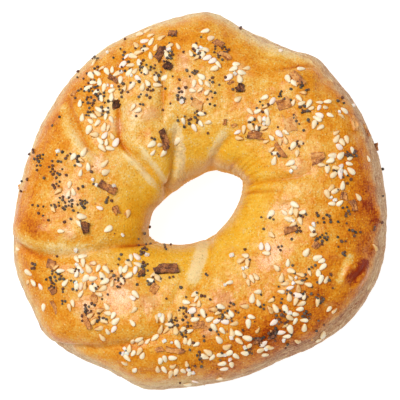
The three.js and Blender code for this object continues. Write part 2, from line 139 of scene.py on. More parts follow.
# Finer creases and stretched ridges, which only show in the crust. A ridge has a depth
# below nothing.
FINE_FOLDS = (
    # the flat band of paler dough on the upper left, and the crease beside it
    Fold(((141, 0.6), (145, 0.44), (149, 0.3), (153, 0.14), (157, 0)), -0.3, 1.4, (0.12, 0.3),
         (-0.22, 1.6, 0.0)),
    Fold(((137.5, 0.58), (140, 0.46), (145, 0.25), (150.5, 0.12), (155, -0.04)), 0.5, 0.6,
         (0.15, 0.3), (0.1, 0.7, 0.25)),
    # two ridges of stretched dough from the crown into the hole, and a crease between
    Fold(((140.5, -0.12), (142.5, -0.2), (144.5, -0.32), (149, -0.49), (157, -0.72)), -0.7, 1.0,
         (0.15, 0.3), (-0.36, 1.2, 0.0)),
    Fold(((130.5, -0.16), (131.5, -0.25), (133.5, -0.39), (137, -0.58), (141, -0.72)), -0.5, 0.8,
         (0.25, 0.25), (-0.3, 1.0, 0.0)),
    Fold(((123, 0.18), (130, 0.05), (137.5, -0.06), (140.5, -0.16), (141, -0.26)), 0.5, 0.7,
         (0.15, 0.3), (0.3, 1.0, 0.4)),
    # where the left lobe meets the next, at the outline and at the hole
    Fold(((187.5, 0.95), (190, 0.74), (194, 0.52), (199, 0.3), (202, 0.12)), 0.2, 0.8, (0.1, 0.4),
         (0.16, 1.1, 0.12)),
    Fold(((207, -0.28), (210.5, -0.42), (215, -0.6), (219.5, -0.74), (223, -0.9)), 0.4, 0.6,
         (0.4, 0.1), (0.25, 0.6, 0.6)),
    # the burst blister: a ridge, and the hollow that burnt beside it
    Fold(((331.5, 0.4), (334.5, 0.4), (337.5, 0.4), (341, 0.42)), -0.9, 1.1, (0.3, 0.3),
         (0.0, 1.0, 0.0)),
    Fold(((332, 0.49), (335, 0.5), (338, 0.52), (341, 0.56)), 0.8, 1.1, (0.3, 0.3),
         (0.0, 1.0, 0.0), right=(0.6, 2)),
    # the pale lower face of the left lobe
    Fold(((188, 0.6), (194, 0.36), (199.5, 0.1), (204, -0.1), (209, -0.36)), 0, 1, (0.1, 0.3),
         (-0.26, 2.4, 0.0)),
    # pale stretched dough along the torn wall, the seam and the edge of the top lobe
    Fold(((101, -0.16), (101, -0.3), (102.5, -0.44), (109, -0.59), (122, -0.73), (141, -0.9)), 0,
         1, (0.2, 0.1), (-0.1, 1.9, 0.0)),
    Fold(((287, -0.8), (279, -0.48), (273.5, -0.31), (269.5, -0.16)), -0.2, 2.6, (0.05, 0.3),
         (-0.32, 2.3, 0.0)),
    Fold(((64, -0.2), (67, -0.42), (70, -0.68)), 0, 1, (0.3, 0.2), (-0.28, 1.6, 0.0)),
    # the skin drawn towards the pinched corner
    Fold(((70, 0.42), (62, 0.5), (54, 0.55), (48, 0.63)), 0.35, 1.2, (0.3, 0.3),
         (0.1, 0.8, 0.15)),
    # a short pleat above the hole
    Fold(((48, -0.9), (46, -0.62), (43, -0.4)), 0.45, 0.8, (0.2, 0.5), (0.08, 0.7, 0.2), (0.2, 3),
         (0.2, 3)),
    # the side of the seam that the lowest lobe stretched
    Fold(((262, -0.55), (263, -0.3), (259, -0.08), (252, 0.08)), 0.35, 1.3, (0.3, 0.4),
         (0.04, 0.8, 0.1), (0.2, 4), (0.2, 4)),
)

# Swollen lobes, hollows and blisters: around, over, reach, rise.
SWELLS = (
    (170, 0.25, 20, 1.4), (236, 0.05, 17, 1.2), (285, 0.3, 20, 1.0), (330, 0.1, 24, 1.2),
    (20, 0.3, 18, 0.8), (112, 0.4, 16, 0.9), (126, -0.25, 8, 0.9), (66, 0.35, 13, -1.4),
    (95, -0.45, 8, -1.2), (227, 0.8, 7, -1.0), (200, -0.1, 9, -0.8), (338, 0.5, 3.2, 1.7),
    (357, 0.62, 2.6, 1.0), (188, 0.45, 6, 0.8),
)

# Fine pleats that gather towards the hole: around, half the spread, over at the end.
PLEATS = ((20, 28, -0.25), (112, 14, -0.55), (215, 16, -0.6), (300, 16, -0.7))
PLEAT_EVERY = 5.2             # degrees
PLEAT_DEPTH = 0.4
PLEAT_WIDTH = 0.15            # as a share of the way to the next one
PLEAT_FROM = (-1.35, -1.05)   # over: where they set in, under the edge of the hole
PLEAT_SOFT = 0.35             # over, from where a pleat sets in to where it is deepest
PLEAT_BEND = (2.2, 5.0)       # how far its path sways, in degrees, and how fast
PLEAT_UNEVEN = (1.4, 0.35)    # how unevenly they stand, in degrees, and how fast that changes
# how much darker the pleats are painted: painted shade in their grooves
PLEAT_PAINTED_SHADE = 0.2
LINE_WIDTH = 0.5              # of the dark line of painted shade in a crease

# Uneven skin: the size of its lumps, how high they stand, and how much higher under thick
# glaze.
LUMPS = ((9.0, 0.42, 0.0), (3.6, 0.25, 0.3), (1.6, 0.12, 0.9))
SLOPE_EVEN = 0.55             # how much smoother the slope into the hole is
SLOPE_OVER = (-0.1, -0.5)     # where that sets in, and where it is full

# ---- how the crust baked -------------------------------------------------------------

# A look is how far the crust baked, from 0, pale dough, to 1, dark; how yellow it is against
# orange; and how dull, as a wall that the glaze didn't reach. First the bands that run right
# round the ring: over, reach, and the look.
BANDS = (
    (-0.65, 0.32, (0.3, 0.85, 0.05)),  # the golden slope into the hole
    (0.0, 0.3, (0.35, 0.2, 0.05)),      # the crown
    (0.48, 0.22, (0.5, 0.2, 0.05)),     # the shoulder, which browns most
    (0.9, 0.22, (0.35, 0.2, 0.4)),      # the wall
)
# Then where the ring differs from its bands: around, spread, over, reach, and the difference.
REGIONS = (
    (0, 55, 0.85, 0.25, (0.05, -0.15, 0.7)),    # the wall on the right is dull, with painted shade
    (310, 30, 0.85, 0.2, (0.2, -0.15, 0.4)),    # and darkest at its lower end, with more painted shade
    (285, 12, 0.75, 0.15, (0.25, -0.1, -0.2)),  # a brown stretch of the bottom rim
    (225, 35, 0.9, 0.2, (-0.2, 0.0, 0.15)),     # the pale rim on the lower left: partly paler crust, partly a painted reflection of the white table
    (62, 10, 0.7, 0.2, (-0.35, 0.3, 0.1)),      # bare dough in the pinched corner
    (90, 25, 0.85, 0.25, (-0.1, 0.3, -0.1)),    # the golden rim at the top
    (310, 35, 0.35, 0.3, (0.25, -0.05, 0.0)),   # the lower right baked hardest
    (0, 22, 0.5, 0.15, (0.2, -0.1, 0.05)),      # and so did the right shoulder
    (165, 35, 0.5, 0.25, (0.05, -0.1, 0.0)),    # an orange shoulder on the left
    (125, 25, -0.1, 0.3, (-0.15, -0.1, 0.05)),  # the stretched lobe on the upper left, paler, with a painted highlight
    (185, 30, -0.6, 0.25, (0.1, 0.0, 0.1)),     # the slope left of the hole, darker with painted shade
)
# Where the glaze ran down the dull wall: x, y and reach.
GLAZE_RUNS = (
    (57.3, -4.6, 2.4), (58.3, -8, 1.8), (56, -13.5, 2.4), (54.5, -18, 2.6), (51, -25, 4.4),
    (47, -27, 4), (53, -22.5, 3), (49, -6, 5), (49, 10, 6), (40, -34, 4),
)
BAKE_WANDER = (6.0, 0.07)     # how far the edges of all these wander, around and over
WANDER_SIZE = 8.0             # from one bay of those edges to the next
DULL_EDGE = (0.22, 0.68)      # between these the glaze gives way to the dull wall
DULL_RAGGED = 0.22

# Where the height or the hole settles the bake instead: where it sets in, where it is full.
IN_HOLE = (-0.62, -0.95)      # over
HOLE_ABOVE = (1.0, 9.0)       # these four are heights
WAIST = (31.0, 21.0)
FOOT = (17.0, 5.0)
BASE = (1.2, 0.2)
# And what it tends to there, with how strongly. The waist is the darker the duller it is,
# which carries the painted shade of the dull right wall down; the foot and the base are uneven.
HOLE_TONE, HOLE_YELLOW, HOLE_DULL = (0.12, 0.6), (0.9, 1.0), (0.15, 1.0)
WAIST_TONE, WAIST_YELLOW, WAIST_DULL = (0.1, 0.88), (0.2, 0.7), (0.95, 0.9)
WAIST_SHADED = 0.34
FOOT_TONE, FOOT_UNEVEN, FOOT_GLOSSIER = (0.5, 0.8), 0.24, 0.45
BASE_TONE, BASE_UNEVEN, BASE_YELLOW, BASE_DULL = (0.62, 1.0), 0.14, (0.25, 1.0), (0.25, 1.0)

# Small spots on top of the bands and regions: x, y, reach and how much darker.
SPOTS = (
    (-52, -10, 5, 0.15),    # brown beside the left crease
    (-14, 21, 4, 0.2),      # a brown hollow on the upper left
    (-24, 30, 5, -0.15),    # the stretched lobe above it, paler, with a painted highlight
    (5, 27, 5, -0.12),      # a light patch above the hole
    (-3, -26, 5, -0.1),     # and one below it
    (22, -46, 5, 0.12),     # dark crust near the bottom
    (-45, 27, 6, 0.08),     # the left shoulder
    (50, 10, 5, 0.12),      # two on the right shoulder
    (48, -5, 5, 0.12),
)

# Streaks: the places on the plan that they run through, their width, how much darker they
# are, and how much duller.
STREAKS = (
    (((-42.5, 29.5), (-40, 23.5), (-36, 16.5), (-33.5, 12.5)), 1.5, -0.16, 0.1),
    # torn dough above the hole, and the seam below it
    (((-6, 22.5), (-5.2, 18), (-4.6, 14), (-4.6, 10), (-5.4, 5.5)), 1.8, -0.2, 0.42),
    (((2.2, -15.5), (1.4, -19.5), (-0.5, -25)), 1.8, -0.1, 0.16),
    # the burst blister, and the glaze that ran off
    (((50.9, -15.5), (51.2, -19), (51.4, -22.4)), 1.4, -0.1, -0.8),
    (((46.8, -27.2), (47.8, -24.4), (49, -22), (50.4, -20)), 1.2, -0.34, -0.8),
    (((45.2, -32), (46.4, -30), (48.4, -29.2), (49.8, -27.4)), 1.2, -0.06, -0.8),
    (((50.2, -27.4), (52, -25.2), (53.4, -23.6), (54.8, -22)), 1.8, 0.34, -0.9),
    (((52, -25.6), (53.4, -24.2)), 1.0, 0.2, 0),
    (((53.6, -23.2), (54.6, -22.2), (55.2, -21)), 0.9, 0.28, 0),
    (((55.8, -2.4), (57.3, -5.4), (58.4, -8.4)), 1.7, 0.26, -0.9),
    (((54.4, -13.2), (55.7, -15.6), (56.4, -18.2)), 1.3, 0.14, -0.8),
    (((43.6, -34.4), (45.4, -30.6), (45.6, -27), (46, -24.5)), 2.2, -0.12, 0.2),
)
STREAK_EDGE = (1.3, 0.5)      # of its width, where a streak sets in and where it is full
STREAK_RAGGED = 1.0           # how far their edges wander

# Where the glaze lies thickest and shines, and the crust is painted with sheen: x, y and reach.
GLAZED = (
    (-25.2, 22.6, 4), (-30.9, 10.8, 4), (-40, 0, 4), (-40, -12, 3), (-23, -31, 8),
    (-14, -34, 5), (-3, 44, 4), (25.2, -19.5, 6), (33.8, 8.7, 4), (-1.4, 34, 6),
    (15, 40.9, 4), (29.2, -3.1, 4), (-14.3, 26.3, 4), (9.9, -33.6, 4),
    (4.9, -43.1, 4), (-35, -36, 5), (-20, 28, 4),
)
GLAZE_ELSEWHERE = 0.35
GLAZE_UNEVEN = 0.3
GLAZE_IN = (-0.95, -0.6)      # over: where it sets in on the side of the hole
GLAZE_OUT = (1.3, 0.9)        # and on the flank
GLAZE_BAKE = 0.04             # how much darker the crust baked under thick glaze

# ---- the toppings --------------------------------------------------------------------

# What varies by chance has two numbers: the least, and how much more there can be.
SEED_SIZES, SEED_SLIMNESS = (0.78, 0.36), (0.84, 0.26)
POPPY_SIZES = (0.7, 0.5)
SALT_SIZES, SALT_STRETCH = (0.95, 0.55), (0.8, 0.4)
CRUMB_SIZES = (0.35, 0.5)
CRUMB_SHAPE = (1.0, 0.8, 0.6)  # length, width, height
CRUMB_SPREAD = 1.2            # how much further they lie about than the sesame
SEED_LIFTS = (0.18, 0.3)      # of its thickness, how high a seed's middle lies
SALT_LIFT, CRUMB_LIFT, FLAKE_LIFT = 0.25, 0.15, -0.3
SEED_TIP, POPPY_TIP, SALT_TIP, CRUMB_TIP, FLAKE_TIP = 0.3, 1.2, 0.5, 1.0, 0.08  # radians
SEED_HALF = 0.65              # from a sesame seed's middle towards either end
SEED_SPACING = 1.25           # the least distance between two seeds
SEED_SPREAD = 0.86            # of a patch
POPPY_SPACING = 0.76
POPPY_SPREAD = 1.15
SALT_SPACING = 1.2
CRUMB_SPACING = 0.5
STRAYS = 0.12                 # of what lies in a patch, the share that fell beside it
STRAY_REACH = 3.0             # how many times as far out
TRIES_SPREAD = 0.05           # how much further out each new try may land
# The start of each kind's random sequence.
SEED_DRAW, POPPY_DRAW, FLAKE_DRAW, SALT_DRAW, CRUMB_DRAW = 7919, 6007, 4021, 3001, 5003

# Patches of sesame: x, y, the patch's radius, and how many seeds it holds.
SESAME_PATCHES = (
    # the top, from the left
    (-29, 37, 5, 18), (-20, 43, 3, 9), (-15, 50, 4, 11), (-15, 37, 4, 9), (-6, 50, 2, 3),
    (1, 47, 3, 9), (6, 43, 2, 3), (2, 36, 3, 10), (3, 25, 2, 4), (15, 41, 3, 6), (12, 37, 2, 2),
    # the upper left, down to the crease
    (-36, 26, 2, 3), (-30, 24, 4, 14), (-28, 18, 3, 6), (-12, 16, 3, 5), (-4, 24, 1, 2),
    (-36, 11, 3, 6), (-28, 8, 1, 3), (-40, 2, 2, 4), (-37, -7, 2, 2), (-31, -4, 1, 1),
    (-28, -11, 1, 1), (-22, -5, 1, 1), (-45, -4, 1, 1), (-43, -11, 1, 1),
    # the upper right
    (32, 38, 2, 4), (35, 31, 3, 6), (41, 28, 3, 6), (47, 27, 2, 3), (24, 31, 2, 3),
    (21, 24, 4, 13), (15, 21, 2, 3), (24, 18, 1, 2), (26, 13, 2, 4), (29, 18, 2, 3),
    (34, 16, 2, 4), (32, 10, 1, 2), (39, 23, 2, 3), (47, 18, 2, 5), (47, 10, 4, 14),
    (44, 2, 2, 4), (48, 3, 1, 2), (53, 0, 1, 1), (44, -2, 1, 2),
    # the lower right
    (25, -6, 1, 3), (33, -7, 3, 10), (26, -13, 1, 2), (39, -12, 1, 2), (36, -18, 1, 2),
    (23, -17, 2, 3), (17, -21, 2, 4), (41, -21, 2, 4), (41, -26, 2, 5), (18, -26, 2, 4),
    (31, -29, 4, 15), (35, -33, 2, 4), (20, -33, 2, 4), (25, -35, 2, 3), (33, -38, 3, 6),
    (28, -42, 3, 8), (18, -42, 2, 5), (16, -46, 2, 3), (21, -48, 2, 4), (44, -36, 1, 2),
    (40, -45, 2, 2), (58, -17, 1, 1),
    # the bottom
    (12, -28, 1, 2), (1, -32, 2, 3), (1, -37, 3, 8), (8, -37, 2, 4), (10, -41, 3, 8),
    (0, -46, 2, 3), (8, -45, 1, 2), (-9, -41, 3, 8), (-4, -44, 2, 3), (-18, -48, 3, 8),
    (-21, -51, 2, 4), (-7, -51, 1, 3), (-9, -54, 3, 8), (-3, -55, 2, 4), (5, -50, 2, 3),
    (10, -52, 3, 11), (7, -57, 1, 1), (-1, -59, 1, 2),
    # the lower left
    (-54, -27, 2, 4), (-44, -23, 1, 3), (-36, -23, 3, 10), (-29, -25, 2, 5), (-20, -23, 3, 9),
    (-13, -27, 2, 6), (-36, -29, 2, 6), (-31, -28, 2, 5), (-24, -26, 2, 3), (-42, -28, 1, 2),
    (-31, -32, 1, 2), (-19, -33, 1, 2), (-29, -39, 4, 15), (-49, -35, 1, 1), (-40, -35, 1, 2),
    (-58, -17, 1, 1),
)

# Patches of poppy in the same way.
POPPY_PATCHES = (
    # the top, from the left
    (-33, 46, 1, 4), (-38, 40, 2, 3), (-33, 41, 2, 7), (-34, 36, 3, 13), (-34, 31, 2, 13),
    (-34, 27, 1, 5), (-30, 33, 2, 8), (-29, 27, 2, 5), (-44, 25, 1, 2), (-24, 46, 2, 6),
    (-23, 41, 1, 4), (-22, 35, 2, 7), (-18, 47, 2, 6), (-16, 42, 2, 8), (-12, 41, 2, 12),
    (-8, 46, 1, 8), (-7, 50, 1, 2), (-14, 35, 1, 5), (-16, 31, 2, 8), (1, 47, 2, 13),
    (-1, 40, 2, 7), (-3, 33, 3, 10), (6, 32, 2, 7), (1, 26, 2, 7), (-3, 25, 2, 8), (9, 47, 2, 13),
    (8, 39, 1, 4), (13, 35, 1, 2), (14, 56, 1, 2), (22, 29, 2, 4), (19, 24, 1, 4),
    # the upper right
    (28, 33, 1, 3), (31, 32, 1, 4), (35, 29, 2, 7), (33, 24, 2, 5), (39, 25, 2, 3), (34, 36, 1, 5),
    (25, 29, 1, 2), (24, 21, 1, 2), (47, 31, 1, 3), (28, 14, 1, 3), (34, 17, 1, 5), (43, 10, 1, 2),
    (50, 13, 1, 11), (48, 8, 2, 4), (49, 5, 1, 2), (59, 3, 3, 2),
    # the left, down to the crease
    (-53, 16, 2, 4), (-50, 13, 1, 9), (-51, 9, 2, 2), (-54, 6, 1, 2), (-57, 2, 1, 1),
    (-43, 14, 1, 4), (-44, 10, 2, 6), (-39, 12, 2, 6), (-44, 7, 1, 5), (-41, 6, 2, 5),
    (-44, 4, 1, 5), (-41, -2, 2, 16), (-36, -2, 1, 9), (-38, -5, 1, 3), (-45, -3, 1, 3),
    (-49, -3, 1, 4), (-47, -6, 2, 2), (-39, -7, 4, 2), (-28, -1, 1, 4), (-32, 5, 1, 2),
    (-18, -10, 2, 2), (-16, -14, 1, 4), (-17, -18, 1, 6), (-10, -17, 1, 4), (-13, 19, 1, 2),
    # the lower right
    (48, -5, 2, 7), (41, -8, 3, 9), (48, -9, 1, 2), (51, -12, 1, 4), (57, -10, 1, 3),
    (40, -14, 2, 10), (47, -15, 2, 6), (48, -19, 1, 2), (25, -8, 1, 4), (33, -11, 1, 6),
    (35, -7, 1, 3), (28, -17, 1, 3), (18, -18, 1, 2), (38, -23, 1, 3), (34, -26, 2, 7),
    (30, -28, 1, 2), (39, -28, 2, 3), (45, -28, 2, 2), (35, -32, 1, 6), (31, -31, 1, 3),
    (28, -34, 1, 4), (28, -38, 2, 12), (36, -38, 1, 8), (40, -33, 1, 9), (39, -40, 1, 3),
    (29, -47, 1, 2), (22, -35, 1, 4), (25, -44, 1, 9), (20, -46, 1, 7), (17, -49, 1, 4),
    (15, -44, 2, 3),
    # the bottom
    (4, -26, 1, 2), (3, -33, 1, 3), (4, -42, 3, 3), (0, -47, 1, 2), (2, -51, 1, 7), (-1, -54, 1, 2),
    (-3, -39, 3, 21), (-3, -44, 1, 9), (-7, -41, 1, 7), (10, -38, 2, 16), (8, -44, 1, 2),
    (12, -35, 1, 2), (8, -50, 2, 2), (-7, -55, 2, 2),
    # the lower left
    (-52, -22, 1, 4), (-48, -26, 1, 2), (-44, -26, 2, 13), (-45, -29, 1, 5), (-38, -24, 1, 4),
    (-38, -29, 2, 4), (-42, -34, 1, 3), (-32, -29, 1, 4), (-33, -35, 1, 4), (-34, -37, 1, 8),
    (-30, -39, 2, 6), (-29, -34, 1, 2), (-26, -25, 1, 2), (-24, -28, 2, 10), (-23, -21, 2, 4),
    (-16, -22, 1, 4), (-17, -25, 1, 4), (-13, -27, 2, 8), (-7, -26, 1, 2), (-23, -49, 1, 2),
)

# Flakes of onion and garlic: x, y, the way the long side points, length, width, height,
# and how dark it is.
FLAKES = (
    # the top, from the left
    (-39, 34, -20, 2, 2, 1, 0.3), (-26, 38, -30, 4, 3, 1.2, 0.65), (-25, 30, 5, 4, 3.5, 1.2, 0.85),
    (-11, 46, 60, 6, 3, 1.3, 0.85), (-8, 42, 70, 3.5, 3, 1.6, 1), (-7, 53, -20, 3.5, 2.5, 1.2, 0.8),
    (-10, 19, -65, 7, 2.5, 1.3, 0.75), (8, 50, -35, 4, 2.5, 1.2, 0.5),
    (10, 46, -40, 4.5, 2.5, 1.2, 0.4), (15, 35, 85, 3, 3, 1.4, 0.95), (12, 37, 35, 2.5, 1, 0.8, 0.4),
    (1, 30, -25, 5, 3, 1, 0.15),
    # the upper right
    (10, 24, 80, 2, 1.5, 0.9, 0.5), (13, 23, 20, 2, 1.5, 0.9, 0.45), (20, 20, -5, 5.5, 3, 1.3, 0.65),
    (33, 38, -58, 6, 3.5, 1.4, 0.35), (29, 30, 20, 4.5, 3.5, 1.2, 0.4),
    (31, 23, -75, 7.5, 5.5, 0.9, 0.1), (28, 15, -55, 7.5, 2, 1, 0.45), (40, 12, 10, 4.5, 4, 1.1, 0.4),
    (51, 23, -75, 6, 2, 1.3, 0.15), (55, 22, -60, 4.5, 1.5, 0.9, 0.3), (58, 17, 88, 3, 1, 1.2, 0.45),
    (48, 0, 80, 3, 2.5, 1, 0.6), (51, -3, -65, 5, 2.5, 1.2, 0.5),
    # the lower right and the bottom
    (31, -11, 8, 5, 3, 1.3, 0.6), (39, -16, 50, 3, 2.5, 1, 0.45), (25, -44, 80, 4, 3, 1.4, 0.9),
    (20, -46, 10, 3, 2, 1.1, 0.75), (2, -41, 10, 4.5, 3, 0.9, 0.3), (-6, -49, -12, 7, 2.5, 1.1, 0.45),
    (-11, -49, 20, 3, 2, 0.9, 0.35),
    # the left
    (-59, 5, 75, 2, 1.5, 1.6, 0.1), (-28, 3, -28, 7, 3.5, 1.5, 0.7), (-26, -4, -70, 3.5, 2.5, 1.1, 0.45),
    (-35, -10, -80, 4.5, 3, 1.5, 0.85), (-9, -24, 4, 8.5, 3.5, 1.5, 0.85), (-17, -25, 10, 3, 2, 1, 0.8),
    (-46, -22, 60, 4, 3.5, 1.1, 0.5), (-45, -30, 20, 3, 2.5, 1, 0.5), (-45, -35, -72, 5, 1.5, 0.8, 0.3),
    (-13, -30, 60, 3, 2.5, 1, 0.25), (-32, -33, -70, 3, 2.5, 1, 0.35), (-34, -40, -63, 6, 2, 1.1, 0.35),
)

# Patches of salt crystals in the same way.
SALT_PATCHES = (
    (-28, 48, 1, 1), (-21, 41, 2, 2), (-9, 47, 1, 2), (-28, 36, 1, 2), (-5, 32, 1, 1), (2, 47, 1, 2),
    (13, 41, 1, 1), (28, 47, 1, 1), (23, 24, 1, 2), (47, 27, 2, 2), (32, 10, 1, 1), (47, 9, 1, 2),
    (-43, 14, 1, 1), (-33, 5, 2, 2), (-26, 3, 1, 1), (-36, -7, 1, 1), (-22, -11, 1, 1),
    (-15, -20, 1, 1), (44, -1, 1, 2), (32, -9, 1, 2), (38, -10, 1, 1), (13, -19, 1, 1),
    (17, -24, 1, 2), (32, -26, 2, 2), (31, -38, 1, 1), (28, -45, 1, 1), (22, -49, 1, 1),
    (17, -48, 1, 1), (11, -29, 1, 1), (12, -44, 1, 1), (10, -51, 2, 2), (-2, -56, 1, 2),
    (-10, -39, 1, 1), (-9, -47, 2, 2), (-22, -51, 2, 3), (-36, -22, 2, 3), (-38, -27, 1, 1),
)


# ---- helpers -------------------------------------------------------------------------


def smooth_step(low, high, value):
    t = np.clip((value - low) / (high - low), 0.0, 1.0)
    return t * t * (3.0 - 2.0 * t)


def random_from(start):
    """The same sequence of numbers from 0 to 1 each run."""
    state = start & 0xFFFFFFFF
    while True:
        state = (state * 1664525 + 1013904223) & 0xFFFFFFFF
        yield state / 4294967296


def lumps(points, size, shift=0.0):
    """Smooth noise from -1 to 1, with lumps of that size. Each use has a shift of its own."""
    return np.array([noise.noise(Vector(p) / size + Vector((shift, -shift, shift))) for p in points])


def varied(least_and_more, draws):
    least, more = least_and_more
    return least + more * draws


def towards(value, target_and_strength, share, beyond=0.0):
    target, strength = target_and_strength
    return value + strength * share * (target + beyond - value)


def turn_from(middle, around):
    """Degrees from the middle, -180 to 180."""
    return (around - middle + 540.0) % 360.0 - 180.0


def near(places, middle, reach):
    """1 at the middle, fading to 0 some way beyond the reach."""
    return np.exp(-np.sum((places - middle) ** 2, axis=-1) / reach ** 2)


def curve_through(a, b, c, d, f):
    """The place between b and c, a share f of the way, on a smooth curve through all four."""
    return 0.5 * (2 * b + (c - a) * f + (2 * a - 5 * b + 4 * c - d) * f ** 2
                  + (3 * b - a - 3 * c + d) * f ** 3)


def linear(red, green, blue):
    """A colour as it is seen, 0 to 255, in the amounts of light that Blender reckons with."""
    shares = (channel / 255.0 for channel in (red, green, blue))
    light = (s / 12.92 if s <= 0.04045 else ((s + 0.055) / 1.055) ** 2.4 for s in shares)
    return (*light, 1.0)


# ---- the shape of the crust ----------------------------------------------------------


def radius_at(radii, around):
    """A smooth closed curve through evenly spaced radii."""
    radii = np.asarray(radii, float)
    place = (around % 360.0) / 360.0 * len(radii)
    first = np.floor(place).astype(int)
    f = place - first
    return curve_through(*(radii[(first + k) % len(radii)] for k in (-1, 0, 1, 2)), f)


def section_at(around):
    """The middle radius and the half width of the ring there."""
    outline = radius_at(OUTLINE_RADII, around)
    for corner, reach, rise in CORNERS:
        outline = outline + rise * np.exp(-(turn_from(corner, around) / reach) ** 2)
    hole = radius_at(HOLE_RADII, around)
    return (hole + outline) / 2, (outline - hole) / 2


def plain_points(around, over):
    """The ring without its folds."""
    around, over = np.asarray(around, float), np.asarray(over, float)
    middle, half = section_at(around)
    out, up = np.sin(over * math.pi / 2), np.cos(over * math.pi / 2)
    above = up > 0
    fullness = np.where(above, FULLNESS_ABOVE, FULLNESS_BELOW)
    rise = np.where(above, CROWN_HEIGHT - WAIST_HEIGHT, BELLY_DEPTH)
    radius = middle + half * out * (1 + fullness * up ** 2)
    z = WAIST_HEIGHT + rise * up * (1 + fullness * out ** 2)
    rounded = (z + BASE_ROUNDING) ** 2 / (4 * BASE_ROUNDING)
    z = np.where(z > BASE_ROUNDING, z, np.where(z < -BASE_ROUNDING, 0.0, rounded))
    angle = np.radians(around)
    x, y = HOLE_AT[0] + radius * np.cos(angle), HOLE_AT[1] + radius * np.sin(angle)
    return np.stack((x, y, z), -1)


def normals_of(surface, around, over):
    """The directions straight out of a surface that is given by around and over."""
    turn, roll = 0.25, 0.01
    along = surface(around + turn, over) - surface(around - turn, over)
    across = surface(around, over + roll) - surface(around, over - roll)
    normal = np.cross(across, along)
    return normal / np.linalg.norm(normal, axis=-1, keepdims=True)


def trace_fold(path):
    """The path as short straight steps on the plain ring: from, run, side, and how far on."""
    steps_each = 8
    path = np.array(path, float)
    path = np.vstack((2 * path[0] - path[1], path, 2 * path[-1] - path[-2]))
    spans = len(path) - 3
    t = np.arange(spans * steps_each + 1) / steps_each
    first = np.minimum(t.astype(int), spans - 1)
    f = (t - first)[:, None]
    places = curve_through(*(path[first + k] for k in range(4)), f)
    points = plain_points(places[:, 0], places[:, 1])
    runs = np.diff(points, axis=0)
    middles = (places[:-1] + places[1:]) / 2
    sides = np.cross(normals_of(plain_points, middles[:, 0], middles[:, 1]), runs)
    sides /= np.linalg.norm(sides, axis=1, keepdims=True)
    return [(points[i], runs[i], sides[i], i / len(runs), 1 / len(runs)) for i in range(len(runs))]


def fold_at(fold, points):
    """How high the fold stands at each point, and how much darker it baked there."""
    nearest = np.full(len(points), np.inf)
    side, at = np.zeros(len(points)), np.zeros(len(points))
    for start, run, sideways, begin, span in trace_fold(fold.path):
        t = np.clip((points - start) @ run / (run @ run), 0.0, 1.0)
        offset = points - start - t[:, None] * run
        distance = np.linalg.norm(offset, axis=1)
        nearer = distance < nearest
        nearest = np.where(nearer, distance, nearest)
        side = np.where(nearer, offset @ sideways, side)
        at = np.where(nearer, begin + t * span, at)
    rise = np.where(side > 0, fold.left[0], fold.right[0])
    reach = np.where(side > 0, fold.left[1], fold.right[1])
    strength = smooth_step(0, fold.fade[0], at) * (1 - smooth_step(1 - fold.fade[1], 1, at))
    t = nearest / reach
    lobe = rise * t * np.exp((1 - t * t) / 2)
    crease = np.exp(-(nearest / fold.width) ** 2)
    stain, shade_and_pallor_width, line = fold.stain
    crease_shade_and_pallor = strength * stain * np.exp(-(nearest / shade_and_pallor_width) ** 4)
    painted_crease_line = strength * line * np.exp(-(nearest / LINE_WIDTH) ** 2)
    return strength * (lobe - fold.depth * crease), crease_shade_and_pallor, painted_crease_line


def pleats_at(around, over):
    """The fine creases towards the hole, from 0 to 1."""
    depth = 0.0
    for middle, spread, end in PLEATS:
        turn = turn_from(middle, around)
        sway = PLEAT_BEND[0] * np.sin(over * PLEAT_BEND[1] + middle)
        sway = sway + PLEAT_UNEVEN[0] * np.sin(turn * PLEAT_UNEVEN[1])
        phase = ((turn + sway) / PLEAT_EVERY + 0.5) % 1.0 - 0.5
        gathered = smooth_step(end, end - PLEAT_SOFT, over) * smooth_step(*PLEAT_FROM, over)
        depth = depth + np.exp(-(phase / PLEAT_WIDTH) ** 2 - (turn / spread) ** 2) * gathered
    return depth


def glaze_at(points, over):
    """How thick the glaze is, from 0 to 1. There is none inside the hole or underneath."""
    thick = np.full(len(points), GLAZE_ELSEWHERE)
    for x, y, reach in GLAZED:
        thick = np.maximum(thick, near(points[:, :2], (x, y), reach))
    thick = np.clip(thick + GLAZE_UNEVEN * lumps(points, 3.0, 90.0), 0.0, 1.0)
    return thick * smooth_step(*GLAZE_IN, over) * smooth_step(*GLAZE_OUT, over)


def distance_to(path, places):
    """How far places on the plan are from a path of straight steps."""
    nearest = np.full(len(places), np.inf)
    for start, end in zip(path, path[1:]):
        run = np.subtract(end, start)
        t = np.clip((places - start) @ run / (run @ run), 0.0, 1.0)
        nearest = np.minimum(nearest, np.linalg.norm(places - start - t[:, None] * run, axis=1))
    return nearest


def relief_at(points, around, over):
    """How far the crust stands out from the plain ring."""
    relief = sum(fold_at(fold, points)[0] for fold in FOLDS + FINE_FOLDS)
    for swell_around, swell_over, reach, rise in SWELLS:
        relief = relief + rise * near(points, plain_points(swell_around, swell_over), reach)
    relief = relief - PLEAT_DEPTH * pleats_at(around, over)
    even, glaze = SLOPE_EVEN * smooth_step(*SLOPE_OVER, over), glaze_at(points, over)
    for turn, (size, height, puckered) in enumerate(LUMPS):
        relief = relief + height * (1 - even + puckered * glaze) * lumps(points, size, 7.0 * turn)
    return relief * smooth_step(RELIEF_FROM, RELIEF_FULL, points[:, 2])


def crust_points(around, over):
    around, over = np.broadcast_arrays(np.asarray(around, float), np.asarray(over, float))
    points = plain_points(around, over)
    normals = normals_of(plain_points, around, over)
    return points + normals * relief_at(points, around, over)[:, None]


